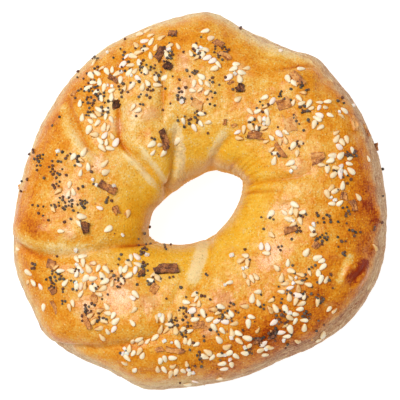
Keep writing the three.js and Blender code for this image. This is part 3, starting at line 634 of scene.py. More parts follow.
def landing(x, y):
    """Where what falls from above at x, y comes to lie on the crust: around and over."""
    x, y = np.asarray(x, float), np.asarray(y, float)
    around = np.degrees(np.arctan2(y - HOLE_AT[1], x - HOLE_AT[0]))
    middle, half = section_at(around)
    wanted = (np.hypot(x - HOLE_AT[0], y - HOLE_AT[1]) - middle) / half
    low, high = np.full(x.shape, -1.0), np.full(x.shape, 1.0)
    halvings = 30
    for _ in range(halvings):
        over = (low + high) / 2
        out = np.sin(over * math.pi / 2)
        further = out * (1 + FULLNESS_ABOVE * (1 - out * out)) < wanted
        low, high = np.where(further, over, low), np.where(further, high, over)
    return around, (low + high) / 2


# ---- meshes --------------------------------------------------------------------------


def new_piece(name, points, faces, material=None):
    """A mesh object from points in millimetres."""
    mesh = bpy.data.meshes.new(name)
    mesh.from_pydata((np.asarray(points) * MM).tolist(), [], faces)
    mesh.update()
    if material:
        mesh.materials.append(material)
        mesh.shade_smooth()
    piece = bpy.data.objects.new(name, mesh)
    bpy.context.scene.collection.objects.link(piece)
    return piece


def keep_on_points(piece, name, values):
    """Stores one number, or one vector, for each point of the mesh."""
    values = np.asarray(values, np.float32)
    kind, field = ("FLOAT", "value") if values.ndim == 1 else ("FLOAT_VECTOR", "vector")
    attribute = piece.data.attributes.new(name, kind, "POINT")
    attribute.data.foreach_set(field, values.ravel())


def settle(piece):
    """Hangs a finished piece on the frame."""
    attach(piece, "root")
    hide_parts("bagel")


# ---- node trees ----------------------------------------------------------------------


class Wiring:
    """Adds nodes to one tree. What feeds a node is a number, a colour or a node's output."""

    def __init__(self, tree):
        self.tree = tree

    def feed(self, socket, value):
        if isinstance(value, bpy.types.NodeSocket):
            self.tree.links.new(value, socket)
        else:
            socket.default_value = value

    def add(self, kind, inputs=None, **settings):
        node = self.tree.nodes.new(kind)
        for name, value in settings.items():
            setattr(node, name, value)
        for socket, value in (inputs or {}).items():
            self.feed(node.inputs[socket], value)
        return node

    def math(self, operation, first, second=0.0, clamp=False):
        inputs = {0: first, 1: second}
        return self.add("ShaderNodeMath", inputs, operation=operation, use_clamp=clamp).outputs[0]

    def total(self, *values):
        result = values[0]
        for value in values[1:]:
            result = self.math("ADD", result, value)
        return result

    def times(self, first, second):
        return self.math("MULTIPLY", first, second)

    def swing(self, value, amount):
        """A value that lies about a half, as a swing to either side of nothing."""
        return self.times(self.math("SUBTRACT", value, 0.5), amount)

    def between(self, value, low, high, to_low=0.0, to_high=1.0, smooth=False):
        inputs = {
            "Value": value, "From Min": low, "From Max": high, "To Min": to_low, "To Max": to_high}
        kind = "SMOOTHSTEP" if smooth else "LINEAR"
        return self.add("ShaderNodeMapRange", inputs, interpolation_type=kind).outputs["Result"]

    def mix(self, share, first, second, blend="MIX"):
        node = self.add("ShaderNodeMix", {0: share}, data_type="RGBA", blend_type=blend)
        self.feed(node.inputs[6], first)
        self.feed(node.inputs[7], second)
        return node.outputs[2]

    def attribute(self, name):
        return self.add("ShaderNodeAttribute", attribute_name=name).outputs["Fac"]

    def noise(self, place, size, detail=2.0, roughness=0.5):
        """Noise with lumps of that size, in millimetres."""
        inputs = {"Vector": place, "Detail": detail, "Roughness": roughness}
        inputs["Scale"] = self.math("DIVIDE", 1.0 / MM, size)
        return self.add("ShaderNodeTexNoise", inputs).outputs[0]

    def dots(self, place, size, edge, core):
        """Dots scattered that far apart, and a draw for each of them."""
        scale = self.math("DIVIDE", 1.0 / MM, size)
        cells = self.add("ShaderNodeTexVoronoi", {"Vector": place, "Scale": scale}).outputs
        draw = self.add("ShaderNodeSeparateColor", {0: cells["Color"]}).outputs[0]
        return self.between(cells["Distance"], edge, core, smooth=True), draw

    def grey(self, shade):
        return self.add("ShaderNodeCombineColor", {0: shade, 1: shade, 2: shade}).outputs[0]

    def bump(self, normal, height, strength, out, **settings):
        """Feeds a surface's normal with bumps that stand out so many millimetres."""
        inputs = {"Strength": strength, "Distance": out * MM, "Height": height}
        self.feed(normal, self.add("ShaderNodeBump", inputs, **settings).outputs["Normal"])

    def group(self, tree, inputs):
        return self.add("ShaderNodeGroup", inputs, node_tree=tree).outputs


def new_group(name, kind, inputs, outputs):
    """An empty group: its tree, its wiring, what comes in, and the node that it ends in."""
    tree = bpy.data.node_groups.new(name, kind)
    for label, socket_kind, value in inputs:
        socket = tree.interface.new_socket(label, in_out="INPUT", socket_type=socket_kind)
        if value is not None:
            socket.default_value = value
    for label, socket_kind in outputs:
        tree.interface.new_socket(label, in_out="OUTPUT", socket_type=socket_kind)
    wiring = Wiring(tree)
    return tree, wiring, wiring.add("NodeGroupInput").outputs, wiring.add("NodeGroupOutput").inputs


def grain_group():
    """Blotches, grain and little blisters, as every baked surface here has them."""
    if "grain" in bpy.data.node_groups:
        return bpy.data.node_groups["grain"]
    kinds = ("Blotches", "Grain", "Blisters", "Specks", "Pits")
    tree, w, given, result = new_group(
        "grain", "ShaderNodeTree",
        (("Place", "NodeSocketVector", None), ("Size", "NodeSocketFloat", 0.7)),
        [(kind, "NodeSocketFloat") for kind in kinds])
    place, size = given["Place"], given["Size"]
    blotches = w.noise(place, w.times(size, 7.0), 4.0, 0.6)
    grain = w.noise(place, size, 3.0, 0.65)
    domes, _ = w.dots(place, w.times(size, 2.4), 0.4, 0.08)
    some = w.between(w.noise(place, w.times(size, 4.0), 1.0), 0.46, 0.6, smooth=True)
    w.feed(result["Blotches"], w.between(blotches, 0.34, 0.66))
    w.feed(result["Grain"], w.between(grain, 0.32, 0.68))
    w.feed(result["Blisters"], w.times(domes, some))
    # Specks are small lighter dots; on the crust they are painted glints.
    dots, chosen = w.dots(place, w.times(size, 1.35), 0.4, 0.16)
    w.feed(result["Specks"], w.times(dots, w.between(chosen, 0.62, 0.8)))
    w.feed(result["Pits"], w.times(dots, w.between(chosen, 0.36, 0.2)))
    return tree


TOAST_STEPS = ("Raw", "Light", "Golden", "Deep", "Dark")


def toast_group():
    """A colour by how far something baked, from 0, raw, to 1, dark."""
    if "toast" in bpy.data.node_groups:
        return bpy.data.node_groups["toast"]
    colours = [(step, "NodeSocketColor", None) for step in TOAST_STEPS]
    tree, w, given, result = new_group(
        "toast", "ShaderNodeTree", [("Toast", "NodeSocketFloat", 0.5), *colours],
        [("Color", "NodeSocketColor")])
    colour = given[TOAST_STEPS[0]]
    spans = len(TOAST_STEPS) - 1
    for i, step in enumerate(TOAST_STEPS[1:]):
        share = w.between(given["Toast"], i / spans, (i + 1) / spans)
        colour = w.mix(share, colour, given[step])
    w.feed(result["Color"], colour)
    return tree


def new_material(name, **constants):
    """A material, its wiring, its shader's inputs, and the place in the object's own frame."""
    material = bpy.data.materials.new(name)
    material.use_nodes = True
    w = Wiring(material.node_tree)
    shader = material.node_tree.nodes["Principled BSDF"]
    for socket, value in constants.items():
        shader.inputs[socket.replace("_", " ")].default_value = value
    return material, w, shader.inputs, w.add("ShaderNodeTexCoord").outputs["Object"]


def toasted(w, toast, *colours):
    """The colour that something baked to, of the five from raw to dark."""
    return w.group(toast_group(), {"Toast": toast, **dict(zip(TOAST_STEPS, colours))})["Color"]


# ---- what a user would change --------------------------------------------------------


def colour_property(name, description, seen):
    return bpy.props.FloatVectorProperty(
        name=name, description=description, subtype="COLOR", size=4, min=0, max=1, default=linear(*seen))


def length_property(name, description, default):
    return bpy.props.FloatProperty(
        name=name, description=description, default=default * MM, min=0, unit="LENGTH", precision=5)


def share_property(name, description, default):
    return bpy.props.FloatProperty(
        name=name, description=description, default=default, min=0, soft_max=1, subtype="FACTOR")


class BagelCrust(bpy.types.PropertyGroup):
    raw: colour_property("Raw", "Stretched dough that hardly browned", (246, 214, 150))
    light: colour_property("Light", "Lightly baked crust", (234, 180, 84))
    golden: colour_property("Golden", "Orange crust on the lobes", (227, 138, 4))
    deep: colour_property("Deep", "Well baked shoulders", (200, 98, 0))
    dark: colour_property("Dark", "The darkest spots", (146, 44, 0))
    slope_light: colour_property("Slope, light", "Pale crust on the slope into the hole", (246, 191, 50))
    slope: colour_property("Slope", "Golden crust on the slope into the hole", (238, 163, 0))
    slope_deep: colour_property("Slope, deep", "Shaded crust on the slope", (208, 132, 4))
    # The colour of the painted shade at the bottom of a crease.
    crease: colour_property("Crease", "The bottom of a sharp crease", (186, 84, 18))
    # A painted sheen: the paler, pinker colour that stands in for the highlight on the thickest glaze.
    painted_sheen: colour_property("Glazed", "Crust under the thickest glaze", (240, 178, 128))
    # The wall colours, the deep one most, also show the painted shade on the right wall.
    wall_light: colour_property("Wall, light", "Pale walls that the glaze didn't reach", (240, 208, 166))
    wall: colour_property("Wall", "Dull walls", (216, 168, 122))
    wall_deep: colour_property("Wall, deep", "Dull walls that baked on", (192, 136, 98))
    mottle: share_property("Mottling", "How uneven the bake is", 0.36)
    grain_size: length_property("Grain", "The size of the crust's grain", 0.62)
    gloss: share_property("Gloss", "How much the glaze shines", 1.0)
    sections: bpy.props.IntProperty(
        name="Sections", description="Steps round the ring", default=440, min=48)
    rows: bpy.props.IntProperty(
        name="Rows", description="Steps over the crown", default=176, min=24)


class BagelToppings(bpy.types.PropertyGroup):
    seed_length: length_property("Sesame length", "A sesame seed from end to end", 3.0)
    seed_width: length_property("Sesame width", "A sesame seed's width", 1.8)
    seed_height: length_property("Sesame height", "A sesame seed's thickness", 0.95)
    seed_pale: colour_property("Sesame, pale", "Fresh sesame", (254, 240, 208))
    seed_toasted: colour_property("Sesame, toasted", "Sesame that browned", (240, 192, 116))
    poppy_size: length_property("Poppy size", "A poppy seed's diameter", 1.08)
    poppy_blue: colour_property("Poppy, blue", "Blue grey poppy seeds", (126, 110, 96))
    poppy_brown: colour_property("Poppy, brown", "Brown poppy seeds", (124, 74, 50))
    flake_tan: colour_property("Flake, tan", "Lightly toasted flakes", (226, 152, 74))
    flake_brown: colour_property("Flake, brown", "Toasted flakes", (176, 108, 62))
    flake_dark: colour_property("Flake, dark", "Flakes that caught", (98, 56, 36))
    salt: colour_property("Salt", "Salt crystals", (252, 245, 234))


class BagelStage(bpy.types.PropertyGroup):
    room_light: share_property("Room light", "Light from all round", 0.4)
    lamp_power: bpy.props.FloatProperty(
        name="Softbox", description="Power of the softbox overhead, in watts", default=8.5, min=0)
    floor_glow: share_property("Floor glow", "How much light the white table gives back by itself", 0.92)
    tilt: bpy.props.FloatProperty(
        name="Tilt", description="The camera's lean from straight above", default=math.radians(6),
        subtype="ANGLE")
    distance: length_property("Distance", "From the camera to the middle of the bagel", 900)
    view_width: length_property("View width", "How much of the table the picture takes in", 132)


# ---- the crust -----------------------------------------------------------------------

ROWS_END = 1.3                # where the rows of the flank stop
ROWS_BELOW = (1.34, 1.38, 1.42, 1.46, 1.5, 1.55, 1.6, 1.66, 1.72, 1.82, 1.92, 2.0,
              2.08, 2.18, 2.28, 2.34, 2.4, 2.45, 2.5, 2.54, 2.58, 2.62, 2.66)


def ring_places(sections, rows):
    over = np.concatenate((np.linspace(-ROWS_END, ROWS_END, rows), ROWS_BELOW))
    around = np.arange(sections) * 360.0 / sections
    return np.repeat(around, len(over)), np.tile(over, sections), len(over)


def ring_faces(sections, rows):
    i, j = np.meshgrid(np.arange(sections), np.arange(rows), indexing="ij")
    here, onward = i * rows, (i + 1) % sections * rows
    beside = (j + 1) % rows
    return np.stack((here + j, here + beside, onward + beside, onward + j), -1).reshape(-1, 4).tolist()


def bake_at(points, around, over):
    """How far the crust baked at each point, with painted shade in its creases and pleats, on
    the right wall and on the slope left of the hole, and painted light on the lower left rim
    and a painted highlight on the upper left lobe; how yellow it is; how dull; and how dark
    the line of painted shade is where a crease runs through it."""
    plan, height = points[:, :2], points[:, 2]
    outward = np.where(over > 2, over - 4, over)
    astray, across = (
        wide * lumps(points, WANDER_SIZE, 20.0 + 9.0 * k) for k, wide in enumerate(BAKE_WANDER))
    turned, wandered = around + astray, outward + across
    somewhere = 1e-6          # keeps the sum of the weights above nothing
    weights = somewhere + np.stack(
        [np.exp(-((wandered - middle) / reach) ** 2) for middle, reach, _ in BANDS], -1)
    look = weights @ np.array([band[2] for band in BANDS]) / weights.sum(1, keepdims=True)
    for middle, spread, region_over, reach, difference in REGIONS:
        away = (turn_from(middle, turned) / spread) ** 2 + ((wandered - region_over) / reach) ** 2
        look = look + np.outer(np.exp(-away), difference)
    tone, yellow, dull = np.clip(look, 0.0, 1.0).T
    for x, y, reach, darker in SPOTS:
        tone = tone + darker * near(plan, (x, y), reach)

    crease, plain = np.zeros(len(points)), plain_points(around, over)
    for fold in FOLDS + FINE_FOLDS:
        _, crease_shade_and_pallor, painted_crease_line = fold_at(fold, plain)
        tone, crease = tone + crease_shade_and_pallor, crease + painted_crease_line
    # painted shade in the pleats
    tone = tone + PLEAT_PAINTED_SHADE * pleats_at(around, over)
    tone = tone + GLAZE_BAKE * np.maximum(glaze_at(points, over) - GLAZE_ELSEWHERE, 0.0)
    for x, y, reach in GLAZE_RUNS:
        dull = dull * (1 - near(plan, (x, y), reach))
    ragged = STREAK_RAGGED * lumps(points, 1.5, 33.0)
    for path, width, darker, duller in STREAKS:
        edge = (part * width for part in STREAK_EDGE)
        share = smooth_step(*edge, distance_to(path, plan) + ragged)
        tone, dull = tone + share * darker, dull + share * duller
    dull = smooth_step(*DULL_EDGE, dull + DULL_RAGGED * lumps(points, 2.6, 70.0))

    in_hole = smooth_step(*IN_HOLE, outward) * smooth_step(*HOLE_ABOVE, height)
    waist = smooth_step(*WAIST, height) * (1 - in_hole)
    foot = smooth_step(*FOOT, height) * (1 - in_hole)
    base = smooth_step(*BASE, height)
    foot_lumps, base_lumps = lumps(points, 9.0, 60.0), lumps(points, 7.0, 50.0)
    dull = towards(dull, HOLE_DULL, in_hole)
    tone = towards(tone, HOLE_TONE, in_hole)
    tone = towards(tone, WAIST_TONE, waist, WAIST_SHADED * dull)
    tone = towards(tone, FOOT_TONE, foot, FOOT_UNEVEN * foot_lumps)
    tone = towards(tone, BASE_TONE, base, BASE_UNEVEN * base_lumps)
    dull = towards(dull, WAIST_DULL, waist) - FOOT_GLOSSIER * foot
    dull = towards(dull, BASE_DULL, base)
    yellow = towards(yellow, HOLE_YELLOW, in_hole)
    yellow = towards(yellow, WAIST_YELLOW, waist)
    yellow = towards(yellow, BASE_YELLOW, base)
    return tone, yellow, dull, np.clip(crease, 0, 1)


def crust_material(look):
    material, w, surface, place = new_material(
        "baked_crust", IOR=1.45, Specular_IOR_Level=0.14, Coat_Roughness=0.26, Subsurface_Scale=1.2 * MM)
    surface["Subsurface Radius"].default_value = (1.0, 0.45, 0.2)
    surface["Subsurface Weight"].default_value = 0.06
    tone, yellow, dull, crease, glaze = (
        w.attribute(name) for name in ("tone", "yellow", "dull", "crease", "glaze"))
    flow = w.add("ShaderNodeAttribute", attribute_name="flow").outputs["Vector"]

    grain = w.group(grain_group(), {"Place": place, "Size": look.grain_size / MM})
    coarse = w.noise(place, 11.0, 2.0, 0.5)
    lines = w.add("ShaderNodeTexNoise", {
        "Vector": flow, "Scale": 1.0, "Detail": 3.0, "Roughness": 0.6}).outputs[0]
    away = w.math("ABSOLUTE", w.math("SUBTRACT", lines, 0.5))
    wrinkles = w.between(away, 0.0, 0.055, 1.0, 0.0)
    ripples = w.between(w.noise(place, 1.8, 2.0, 0.5), 0.35, 0.65)
    puckers_and_sheen = w.swing(ripples, w.between(glaze, 0.35, 0.8))

    mottle = look.mottle
    # Here the lighter specks are painted glints, and the lighter tops of the ripples under thick glaze a
    # painted highlight.
    unevenness = w.total(
        w.swing(coarse, 0.6 * mottle), w.swing(grain["Blotches"], 0.62 * mottle),
        w.swing(grain["Grain"], 0.9 * mottle), w.times(grain["Blisters"], -0.3 * mottle),
        w.times(puckers_and_sheen, -0.5 * mottle), w.times(grain["Specks"], -0.75 * mottle),
        w.times(grain["Pits"], 0.4 * mottle),
        w.times(w.times(wrinkles, w.between(dull, 0.0, 1.0, 0.12, 1.0)), 0.7 * mottle),
        w.times(w.swing(lines, dull), 1.8 * mottle))
    smoother = w.between(yellow, 0.0, 1.0, 1.15, 0.65)
    toast = w.math("ADD", tone, w.times(unevenness, smoother), clamp=True)

    orange, gold, wall = (
        toasted(w, toast, look.raw, *middle, look.dark) for middle in (
            (look.light, look.golden, look.deep),
            (look.slope_light, look.slope, look.slope_deep),
            (look.wall_light, look.wall, look.wall_deep)))
    baked = w.mix(yellow, orange, gold)
    # Under thick glaze the colour goes towards the painted sheen, a paler, pinker colour that stands in
    # for the glaze's highlight.
    thick = w.between(glaze, 0.45, 1.0, 0.0, 0.5)
    painted_sheen_share = w.times(thick, w.between(toast, 0.45, 0.8, 1.0, 0.2))
    colour = w.mix(dull, w.mix(painted_sheen_share, baked, look.painted_sheen), wall)
    # The line at the bottom of a crease is painted shade, in the crease colour.
    w.feed(surface["Base Color"], w.mix(crease, colour, look.crease))

    w.feed(surface["Roughness"], w.total(
        w.between(dull, 0.1, 0.9, 0.4, 0.62), w.swing(grain["Grain"], 0.5 * mottle),
        w.times(crease, 0.4), w.between(glaze, 0.0, 0.2, 0.3, 0.0)))
    shine = w.times(w.between(dull, 0.1, 0.7, look.gloss, 0.05), w.math("SUBTRACT", 1.0, crease))
    shine = w.times(shine, w.between(toast, 0.6, 0.95, 1.0, 0.15))
    w.feed(surface["Coat Weight"], w.times(shine, glaze))

    height = w.total(
        w.times(grain["Grain"], 0.3), w.times(grain["Blotches"], 0.3),
        w.times(grain["Blisters"], 0.4), w.times(grain["Specks"], 0.5),
        w.times(grain["Pits"], -0.5), w.times(puckers_and_sheen, 0.5),
        w.times(wrinkles, w.between(dull, 0.0, 1.0, -0.15, -0.6)))
    w.bump(surface["Normal"], height, 0.9, 0.3)
    w.bump(surface["Coat Normal"], ripples, 0.9, 0.1)
    return material


class BAGEL_OT_crust(bpy.types.Operator):
    """Builds the ring of bread with its folds, and bakes it"""
    bl_idname = "bagel.crust"
    bl_label = "Crust"

    def execute(self, context):
        look = context.scene.bagel_crust
        around, over, rows = ring_places(look.sections, look.rows)
        points = crust_points(around, over)
        crust = new_piece("crust", points, ring_faces(look.sections, rows), crust_material(look))
        for name, values in zip(("tone", "yellow", "dull", "crease"), bake_at(points, around, over)):
            keep_on_points(crust, name, values)
        keep_on_points(crust, "glaze", glaze_at(points, over))
        angle = np.radians(around)
        keep_on_points(crust, "flow", np.stack((10 * np.cos(angle), 10 * np.sin(angle), 32 * over), -1))
        settle(crust)
        return {"FINISHED"}


# ---- what lies on it -----------------------------------------------------------------


def flake_ground():
    """Three places along the middle of each flake."""
    places = []
    for x, y, turn, length, *_ in FLAKES:
        along = length * np.array((math.cos(math.radians(turn)), math.sin(math.radians(turn))))
        places += [(x, y) + k * along for k in (-0.3, 0, 0.3)]
    return np.array(places)


def scatter(patches, spacing, start, taken, half=0.0, tries=16):
    """Places in the patches: x, y, turn and a draw from 0 to 1. What lies there reaches half
    to either side along its turn, and comes no nearer to the rest, or to what was taken
    before, than the spacing."""
    places = []
    for number, (x, y, reach, count) in enumerate(patches):
        random = random_from(start * (number + 1))
        for _ in range(count):
            stray = STRAY_REACH if next(random) < STRAYS else 1.0
            for attempt in range(tries):
                further = 1 + TRIES_SPREAD * attempt
                distance = stray * reach * further * math.sqrt(next(random))
                angle, turn = 2 * math.pi * next(random), 2 * math.pi * next(random)
                middle = np.array((x + distance * math.cos(angle), y + distance * math.sin(angle)))
                rod = middle + np.outer((-half, 0, half), (math.cos(turn), math.sin(turn)))
                if np.linalg.norm(taken[:, None] - rod, axis=2).min() > spacing:
                    taken = np.vstack((taken, rod))
                    places.append((*middle, math.degrees(turn), next(random)))
                    break
    return places


def lie_on_crust(places, lifts, tips):
    """Where pieces at x, y, turn lie: points in millimetres and their turns as angles."""
    x, y, turn = np.array(places, float)[:, :3].T
    around, over = landing(x, y)
    normals = normals_of(crust_points, around, over)
    points = crust_points(around, over) + normals * np.asarray(lifts)[:, None]
    angles = []
    for normal, degrees, tip in zip(normals, turn, tips):
        up = Vector(normal)
        level = Vector((math.cos(math.radians(degrees)), math.sin(math.radians(degrees)), 0))
        sideways = up.cross(level).normalized()
        basis = Matrix((sideways.cross(up), sideways, up)).transposed()
        angles.append(tuple((basis @ Euler((tip[0], tip[1], 0)).to_matrix()).to_euler()))
    return points, np.array(angles)


def scatter_tree(name, sizes, form, smooth=True):
    """A tree that puts one form on each point, turned, sized and tinted by the point."""
    inputs = [("Geometry", "NodeSocketGeometry", None), ("Material", "NodeSocketMaterial", None)]
    inputs += [(label, "NodeSocketFloat", value) for label, value in sizes]
    tree, w, given, result = new_group(
        name, "GeometryNodeTree", inputs, [("Geometry", "NodeSocketGeometry")])
    turn, size = (
        w.add("GeometryNodeInputNamedAttribute", {"Name": kept}, data_type="FLOAT_VECTOR")
        .outputs["Attribute"] for kept in ("turn", "size"))
    shape = w.add("GeometryNodeSetShadeSmooth", {
        "Geometry": form(w, given), "Shade Smooth": smooth}).outputs[0]
    turned = w.add("FunctionNodeEulerToRotation", {0: turn}).outputs[0]
    laid = w.add("GeometryNodeInstanceOnPoints", {
        "Points": given["Geometry"], "Instance": shape, "Rotation": turned, "Scale": size})
    real = w.add("GeometryNodeRealizeInstances", {"Geometry": laid.outputs["Instances"]})
    w.feed(result["Geometry"], w.add("GeometryNodeSetMaterial", {
        "Geometry": real.outputs["Geometry"], "Material": given["Material"]}).outputs["Geometry"])
    return tree


def grow(name, points, kept, tree, values):
    """Gives points to a tree, and keeps what grows on them as a plain mesh."""
    piece = new_piece(name, points, [])
    for attribute, numbers in kept.items():
        keep_on_points(piece, attribute, numbers)
    modifier = piece.modifiers.new(name, "NODES")
    modifier.node_group = tree
    for socket in tree.interface.items_tree:
        if socket.in_out == "INPUT" and socket.name in values:
            modifier[socket.identifier] = values[socket.name]
    graph = bpy.context.evaluated_depsgraph_get()
    made = bpy.data.meshes.new_from_object(
        piece.evaluated_get(graph), preserve_all_data_layers=True, depsgraph=graph)
    piece.modifiers.clear()
    piece.data = made
    made.name = name
    if not len(made.polygons):
        raise RuntimeError(f"nothing grew for {name}")
    return piece


def moved(w, mesh, x, y, z):
    """The mesh with its points at other places."""
    place = w.add("ShaderNodeCombineXYZ", {"X": x, "Y": y, "Z": z}).outputs[0]
    return w.add("GeometryNodeSetPosition", {"Geometry": mesh, "Position": place}).outputs[0]


def own_place(w):
    """Where each point of the mesh is, as X, Y and Z."""
    position = w.add("GeometryNodeInputPosition").outputs[0]
    return w.add("ShaderNodeSeparateXYZ", {0: position}).outputs


def sesame_form(w, given):
    """A flattened drop, its point towards +X, its thickest part behind the middle."""
    ball = w.add("GeometryNodeMeshUVSphere", {
        "Segments": 10, "Rings": 7, "Radius": 1.0}).outputs["Mesh"]
    place = own_place(w)
    along, aside, upward = place["Z"], place["X"], place["Y"]
    taper = w.math("SUBTRACT", 1.0, w.times(given["Taper"], along))
    x = w.times(along, w.times(given["Length"], 0.5))
    y = w.times(w.times(aside, taper), w.times(given["Width"], 0.5))
    z = w.times(w.times(upward, taper), w.times(given["Height"], 0.5))
    # How far towards the seed's sides and its point: the hull is painted darker there, as painted shade
    # at its sides.
    rim = w.total(w.math("ABSOLUTE", aside), w.times(along, 0.5))
    ball = w.add("GeometryNodeStoreNamedAttribute", {"Geometry": ball, "Name": "rim", "Value": rim})
    return moved(w, ball.outputs[0], x, y, z)


def poppy_form(w, given):
    """A little kidney."""
    ball = w.add("GeometryNodeMeshIcoSphere", {"Radius": 1.0, "Subdivisions": 2}).outputs["Mesh"]
    place = own_place(w)
    half = w.times(given["Size"], 0.5)
    bend = w.times(w.times(place["X"], place["X"]), 0.22)
    x = w.times(place["X"], half)
    y = w.times(w.math("ADD", w.times(place["Y"], 0.82), bend), half)
    z = w.times(w.times(place["Z"], 0.86), half)
    return moved(w, ball, x, y, z)


def grain_form(w, given):
    """A broken crystal: a cube with worn corners."""
    cube = w.add("GeometryNodeMeshCube", {
        "Size": (2.0, 2.0, 2.0), "Vertices X": 3, "Vertices Y": 3, "Vertices Z": 3}).outputs["Mesh"]
    position = w.add("GeometryNodeInputPosition").outputs[0]
    far = w.add("ShaderNodeVectorMath", {0: position}, operation="LENGTH").outputs["Value"]
    rough = w.add("ShaderNodeTexNoise", {"Vector": position, "Scale": 1.7}).outputs[0]
    worn = w.between(far, 1.0, 1.74, 1.0, given["Wear"])
    scale = w.times(w.times(worn, w.between(rough, 0.3, 0.7, 0.75, 1.2)), w.times(given["Size"], 0.5))
    place = w.add("ShaderNodeVectorMath", {0: position, "Scale": scale}, operation="SCALE").outputs[0]
    return w.add("GeometryNodeSetPosition", {"Geometry": cube, "Position": place}).outputs[0]


# Colours that stay as they are: the scorched and the rosy sesame, the net on a poppy seed,
# cloudy salt, and the palest and the most burnt of the flakes.
SEED_SCORCHED = linear(196, 118, 52)
SEED_ROSY = linear(255, 234, 216)
POPPY_NET = linear(30, 22, 18)
SALT_CLOUD = linear(238, 227, 212)
FLAKE_PALE = linear(238, 186, 116)
FLAKE_BURNT = linear(34, 18, 14)


def sesame_material(look):
    material, w, surface, place = new_material(
        "sesame_hull", IOR=1.46, Subsurface_Scale=0.6 * MM, Subsurface_Weight=0.1)
    surface["Subsurface Radius"].default_value = (1.0, 0.7, 0.4)
    tint = w.attribute("tint")
    grain = w.group(grain_group(), {"Place": place, "Size": 0.3})
    # Darker towards the sides and the point: painted shade on the seed's edges.
    rim = w.between(w.attribute("rim"), 0.45, 1.05, 0.0, 0.55, smooth=True)
    toast = w.total(tint, rim, w.swing(grain["Blotches"], 0.4))
    colour = w.mix(w.between(toast, 0.0, 1.0), look.seed_pale, look.seed_toasted)
    caught = w.between(toast, 0.92, 1.25)
    colour = w.mix(caught, colour, SEED_SCORCHED)
    rosy = w.between(w.attribute("rosy"), 0.88, 0.92)
    w.feed(surface["Base Color"], w.mix(rosy, colour, SEED_ROSY))
    w.feed(surface["Roughness"], w.between(grain["Grain"], 0.3, 0.7, 0.38, 0.55))
    w.bump(surface["Normal"], grain["Grain"], 0.3, 0.08)
    return material


def poppy_material(look):
    material, w, surface, place = new_material("poppy_shell", IOR=1.45)
    mesh_size = 0.26
    inputs = {"Vector": place, "Scale": 1 / (mesh_size * MM)}
    cells = w.add("ShaderNodeTexVoronoi", inputs, feature="DISTANCE_TO_EDGE").outputs
    net = w.between(cells["Distance"], 0.02, 0.2)
    tint = w.attribute("tint")
    brown = w.between(tint, 0.45, 0.7)
    colour = w.mix(brown, look.poppy_blue, look.poppy_brown)
    shade = w.between(tint, 0.0, 0.45, 0.3, 1.0)
    colour = w.mix(1.0, colour, w.grey(shade), "MULTIPLY")
    w.feed(surface["Base Color"], w.mix(w.times(net, 0.55), colour, POPPY_NET))
    w.feed(surface["Roughness"], w.between(net, 0.0, 1.0, 0.5, 0.62))
    w.bump(surface["Normal"], net, 0.5, 0.06, invert=True)
    return material


def salt_material(look):
    material, w, surface, place = new_material(
        "salt_crystal", IOR=1.5, Subsurface_Scale=1.0 * MM, Subsurface_Weight=0.25)
    grain = w.group(grain_group(), {"Place": place, "Size": 0.35})
    cloudy = w.between(grain["Blotches"], 0.35, 0.65)
    w.feed(surface["Base Color"], w.mix(cloudy, look.salt, SALT_CLOUD))
    w.feed(surface["Roughness"], w.between(grain["Grain"], 0.3, 0.7, 0.2, 0.5))
    w.bump(surface["Normal"], grain["Grain"], 0.4, 0.1)
    return material


def flake_material(look):
    material, w, surface, place = new_material("toasted_flake", IOR=1.45)
    grain = w.group(grain_group(), {"Place": place, "Size": 0.34})
    uneven = w.total(
        w.swing(grain["Blotches"], 0.5), w.swing(grain["Grain"], 0.4),
        w.times(grain["Specks"], -0.25), w.times(w.attribute("rim"), 0.1))
    toast = w.total(w.times(w.attribute("tint"), 0.72), 0.04, uneven)
    w.feed(surface["Base Color"], toasted(
        w, toast, FLAKE_PALE, look.flake_tan, look.flake_brown, look.flake_dark, FLAKE_BURNT))
    w.feed(surface["Roughness"], w.between(grain["Grain"], 0.3, 0.7, 0.42, 0.7))
    height = w.total(grain["Blotches"], w.times(grain["Grain"], 0.6))
    w.bump(surface["Normal"], height, 0.7, 0.2)
    return material


def sesame_places():
    patches = [(x, y, reach * SEED_SPREAD, count) for x, y, reach, count in SESAME_PATCHES]
    return scatter(patches, SEED_SPACING, SEED_DRAW, flake_ground(), SEED_HALF)


def covered_ground():
    """Where the flakes and the sesame lie."""
    return np.vstack((flake_ground(), np.array(sesame_places())[:, :2]))


def lay(name, places, lifts, tips, kept, tree, values):
    """Lays the pieces of one kind at their places on the crust, and hangs them on the frame."""
    points, turns = lie_on_crust(places, lifts, tips)
    settle(grow(name, points, {"turn": turns, **kept}, tree, values))


def tips_for(count, start, most):
    """How far each piece tips about its two level axes."""
    random = random_from(start)
    return [(most * (2 * next(random) - 1), most * (2 * next(random) - 1)) for _ in range(count)]


def draws_for(count, start):
    """A draw from 0 to 1 for each piece. Each start gives a sequence of its own."""
    random = random_from(start)
    return np.array([next(random) for _ in range(count)])


